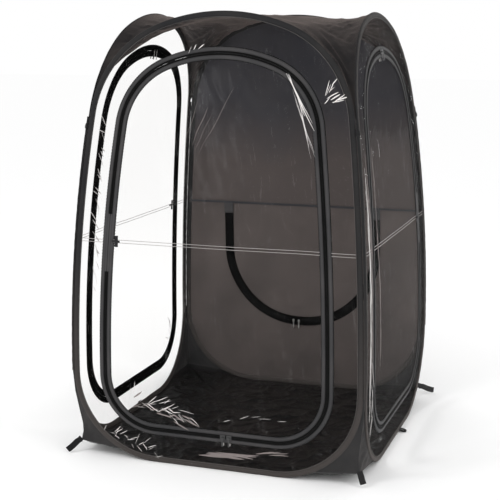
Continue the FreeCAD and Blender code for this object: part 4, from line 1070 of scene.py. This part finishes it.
def make_gusset(corner, turn):
    """Two soft faces that close a lower corner and reach down to the stake loop."""
    steps, cross = 40, 14
    turn_at = np.linspace(0.0, 1.0, steps)
    start_angle = -math.asin((FOOT - GUSSET_START_Z) / FOOT)
    angle = start_angle * turn_at
    radius = FOOT - 0.006
    hoop_x = FOOT_X + radius * np.cos(angle)
    hoop_z = FOOT + radius * np.sin(angle)
    # The far edge first follows the corner's ridge down to the tip, then the ground back in.
    split = 0.62
    down = np.clip(turn_at / split, 0, 1)
    ridge_z = FOOT + (TIP_Z - FOOT) * down
    ridge = np.interp(ridge_z, [TIP_Z, 0.08, 0.12, 0.18, 0.26, FOOT],
                      [TIP_HALF, 0.570, 0.571, 0.580, 0.591, HALF - 0.0035])
    along = np.clip((turn_at - split) / (1 - split), 0, 1)
    end_x, end_z = hoop_x[-1], hoop_z[-1]
    far_x = np.where(turn_at < split, ridge, TIP_HALF + (end_x - TIP_HALF) * along)
    far_z = np.where(turn_at < split, ridge_z, TIP_Z + (end_z - TIP_Z) * along)
    end_out = HALF - SLEEVE_DEPTH - 0.001
    far_out = np.where(turn_at < split, ridge, TIP_HALF + (end_out - TIP_HALF) * along)
    near_out = corner_out(hoop_z, 0.005)
    share = np.linspace(0, 1, cross)
    for face, flip in (("a", False), ("b", True)):
        x = hoop_x[:, None] + (far_x - hoop_x)[:, None] * share
        z = hoop_z[:, None] + (far_z - hoop_z)[:, None] * share
        out = near_out[:, None] + (far_out - near_out)[:, None] * share
        slack = 0.005 * noise(x * 16, z * 16, 110 + flip)
        slack += 0.004 * creases(x * 14 + z * 9, z * 9, 112)
        hold = np.sin(np.pi * share)[None] * np.sin(np.pi * np.clip(turn_at, 0.02, 1))[:, None]
        out = out - np.abs(slack) * hold
        points = np.stack([x, -out, z], -1)
        if flip:
            points = np.stack([out, -x, z], -1)
        points = turned(points, turn)
        run = lengths(points[:, cross // 2])
        wide = lengths(points[steps // 2])
        stands_for = [] if flip else [corner + "_gusset"]
        piece = grid_piece("%s_gusset_%s" % (corner, face), ROOT, "gusset", points, run, wide,
                           *stands_for)


def webbing_strip(name, path, width_way, width, nodes=()):
    """A flat strip of webbing along a path of points."""
    path = np.array(path, float)
    run = lengths(path)
    smooth = np.linspace(0, run[-1], max(12, int(run[-1] / 0.002)))
    line = places_at(smooth, run, path)
    for _ in range(6):
        line[1:-1] = (line[:-2] + 2 * line[1:-1] + line[2:]) / 4
    ahead = unit(np.gradient(line, axis=0))
    side = np.array(width_way, float)
    side = side / np.linalg.norm(side)
    out = np.cross(ahead, side)
    thick = 0.0007
    turn = circle(12)
    across = np.sign(np.cos(turn)) * np.abs(np.cos(turn)) ** 0.5 * width / 2
    lift = np.sign(np.sin(turn)) * np.abs(np.sin(turn)) ** 0.7 * thick
    points = line[:, None] + side * across[None, :, None] + out[:, None] * lift[None, :, None]
    girth = lengths(np.stack([across, lift], -1), closed=True)
    piece = grid_piece(name, ROOT, "webbing", points, lengths(line), girth, *nodes,
                       loop_across=True)
    cap_ends(piece.data, len(turn), len(line))


def make_loops():
    """Stake loops at the ground and small loops where the hoops part."""
    reaches = {"front_right": (0.020, 0.012), "back_right": (0.058, 0.100),
               "back_left": (0.050, 0.060), "front_left": (0.050, 0.036)}
    for index, (corner, turn) in enumerate(CORNER_TURNS.items()):
        forth = np.array([0.0, 0.25, 0.6, 0.9, 1.0, 0.9, 0.6, 0.3, 0.05])
        drop = np.array([0.058, 0.046, 0.026, 0.013, 0.013, 0.015, 0.029, 0.046, 0.052])
        sign = turned(np.array([[1.0, -1.0, 0.0]]), turn)[0]
        reach_x, reach_y = reaches[corner]
        path = np.stack([sign[0] * (TIP_HALF + reach_x * forth),
                         sign[1] * (TIP_HALF + reach_y * forth), drop], -1)
        ahead = path[3] - path[0]
        way = np.cross((0.3, -0.9, 0.45), ahead)
        webbing_strip(corner + "_stake_strap", path, way, STRAP_WIDTH,
                      ["stake_loops"] if index == 0 else [])
        out = corner_out(JOINT_Z, 0.004)
        loop = [(-0.004, 0.012), (0.0015, 0.004), (0.004, -0.010), (0.003, -0.016),
                (0.0, -0.012), (-0.004, -0.002)]
        path = [(sign[0] * (out + r), sign[1] * (out + r), JOINT_Z + z) for r, z in loop]
        webbing_strip(corner + "_joint_strap", path, (-sign[1], sign[0], 0), 0.016,
                      ["joint_loops"] if index == 0 else [])
    for name, side in (("right", 1), ("left", -1)):
        loop = [(0.588, 0.012), (0.600, 0.013), (0.612, 0.011), (0.622, 0.006), (0.623, 0.0025),
                (0.616, 0.0018), (0.606, 0.003), (0.592, 0.006)]
        path = [(side * r, 0.08, z) for r, z in loop]
        webbing_strip(name + "_side_strap", path, (0, 1, 0), 0.020)


def make_corner_bindings():
    """Piped seams down the corners, where neighbouring sleeves meet."""
    up = np.linspace(FOOT, 1.35, 220)
    turn = circle(12)
    out = corner_out(up, 0.0052)
    for index, (corner, spin) in enumerate(CORNER_TURNS.items()):
        pucker = 1 + 0.18 * noise(up * 40, up * 0 + index, 120)[:, None]
        x = out[:, None] + np.cos(turn)[None] * PIPING * pucker
        y = -out[:, None] + np.sin(turn)[None] * PIPING * pucker
        z = np.repeat(up[:, None], 12, 1)
        points = turned(np.stack([x, y, z], -1), spin)
        grid_piece(corner + "_corner_seam", ROOT, "sleeve", points, up, turn * PIPING,
                   *(["corner_bindings"] if index == 0 else []))


# ---------------------------------------------------- CAD pieces that stay

def paint_cad():
    """Give the steel, sliders, pulls and ties their real finishes."""
    finishes = {"_hoop": "steel", "_slider_": "slider", "_pull_": "slider", "_tie": "webbing"}
    for name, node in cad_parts.items():
        for part, kind in finishes.items():
            if part in name:
                node.data.materials.clear()
                node.data.materials.append(MATERIALS[kind])


# ------------------------------------------------- floor, light and camera

def make_stage():
    mesh = bpy.data.meshes.new("ground")
    wide = 40.0
    mesh.from_pydata([(-wide, -wide, 0), (wide, -wide, 0), (wide, wide, 0), (-wide, wide, 0)],
                     [], [(0, 1, 2, 3)])
    material, _, shader = new_material("pale_ground")
    set_inputs(shader, Base_Color=(0.985, 0.985, 0.985, 1), Roughness=0.9, Specular_IOR_Level=0.0)
    ground = finish_mesh("ground", mesh, material)
    ground.location.z = -0.0005


def add_area(name, place, target, size, power):
    data = bpy.data.lights.new(name, "AREA")
    data.shape = "RECTANGLE"
    data.size, data.size_y = size
    data.energy = power
    light = bpy.data.objects.new(name, data)
    light.location = place
    aim = Vector(target) - Vector(place)
    light.rotation_euler = aim.to_track_quat("-Z", "Y").to_euler()
    bpy.context.scene.collection.objects.link(light)


def make_light():
    """An even white surround that glossy surfaces see dim, and a few soft lights."""
    world = bpy.data.worlds.new("studio")
    world.use_nodes = True
    net = Net(world.node_tree)
    background = net.nodes["Background"]
    strength = net.ramp(net.add("LightPath").outputs["Is Glossy Ray"], 0.0, 1.0,
                        (1.0, 1.0, 1.0), (0.10, 0.10, 0.10))
    net.links.new(strength, background.inputs["Strength"])
    set_inputs(background, Color=(1, 1, 1, 1))
    bpy.context.scene.world = world
    add_area("key", (-2.6, -3.6, 4.2), (0, 0, 0.8), (1.2, 1.2), 55)
    add_area("fill", (4.2, -2.2, 2.6), (0, 0, 0.8), (0.8, 1.6), 30)
    add_area("left_strip", (-1.7, -4.6, 1.9), (0, 0, 1.2), (0.2, 1.5), 12)
    add_area("right_strip", (2.2, 4.4, 1.7), (0.5, 0, 1.0), (0.2, 1.8), 14)


def make_camera():
    data = bpy.data.cameras.new("camera")
    data.lens = 83.7
    data.sensor_width = 36
    camera = bpy.data.objects.new("camera", data)
    camera.location = (1.523, -4.601, 1.661)
    target = Vector((-0.0535, 0, 0.7605))
    camera.rotation_euler = (target - camera.location).to_track_quat("-Z", "Y").to_euler()
    bpy.context.scene.collection.objects.link(camera)
    bpy.context.scene.camera = camera
    bpy.context.scene.view_settings.view_transform = "Standard"


make_camera()
make_stage()
make_light()
for wall in TURNS:
    make_sleeve(wall)
for wall in DOOR_WALLS:
    make_window(wall)
    make_door_film(wall)
    make_seams(wall)
    make_door_edge(wall)
for number, fold in enumerate(FOLDS):
    make_folds(number, *fold)
make_upper_wall()
make_lower_wall()
make_flap()
make_flap_zip()
make_back_trim()
make_inner_pulls()
make_roof()
make_floor()
for corner, turn in CORNER_TURNS.items():
    make_gusset(corner, turn)
make_loops()
make_corner_bindings()
paint_cad()
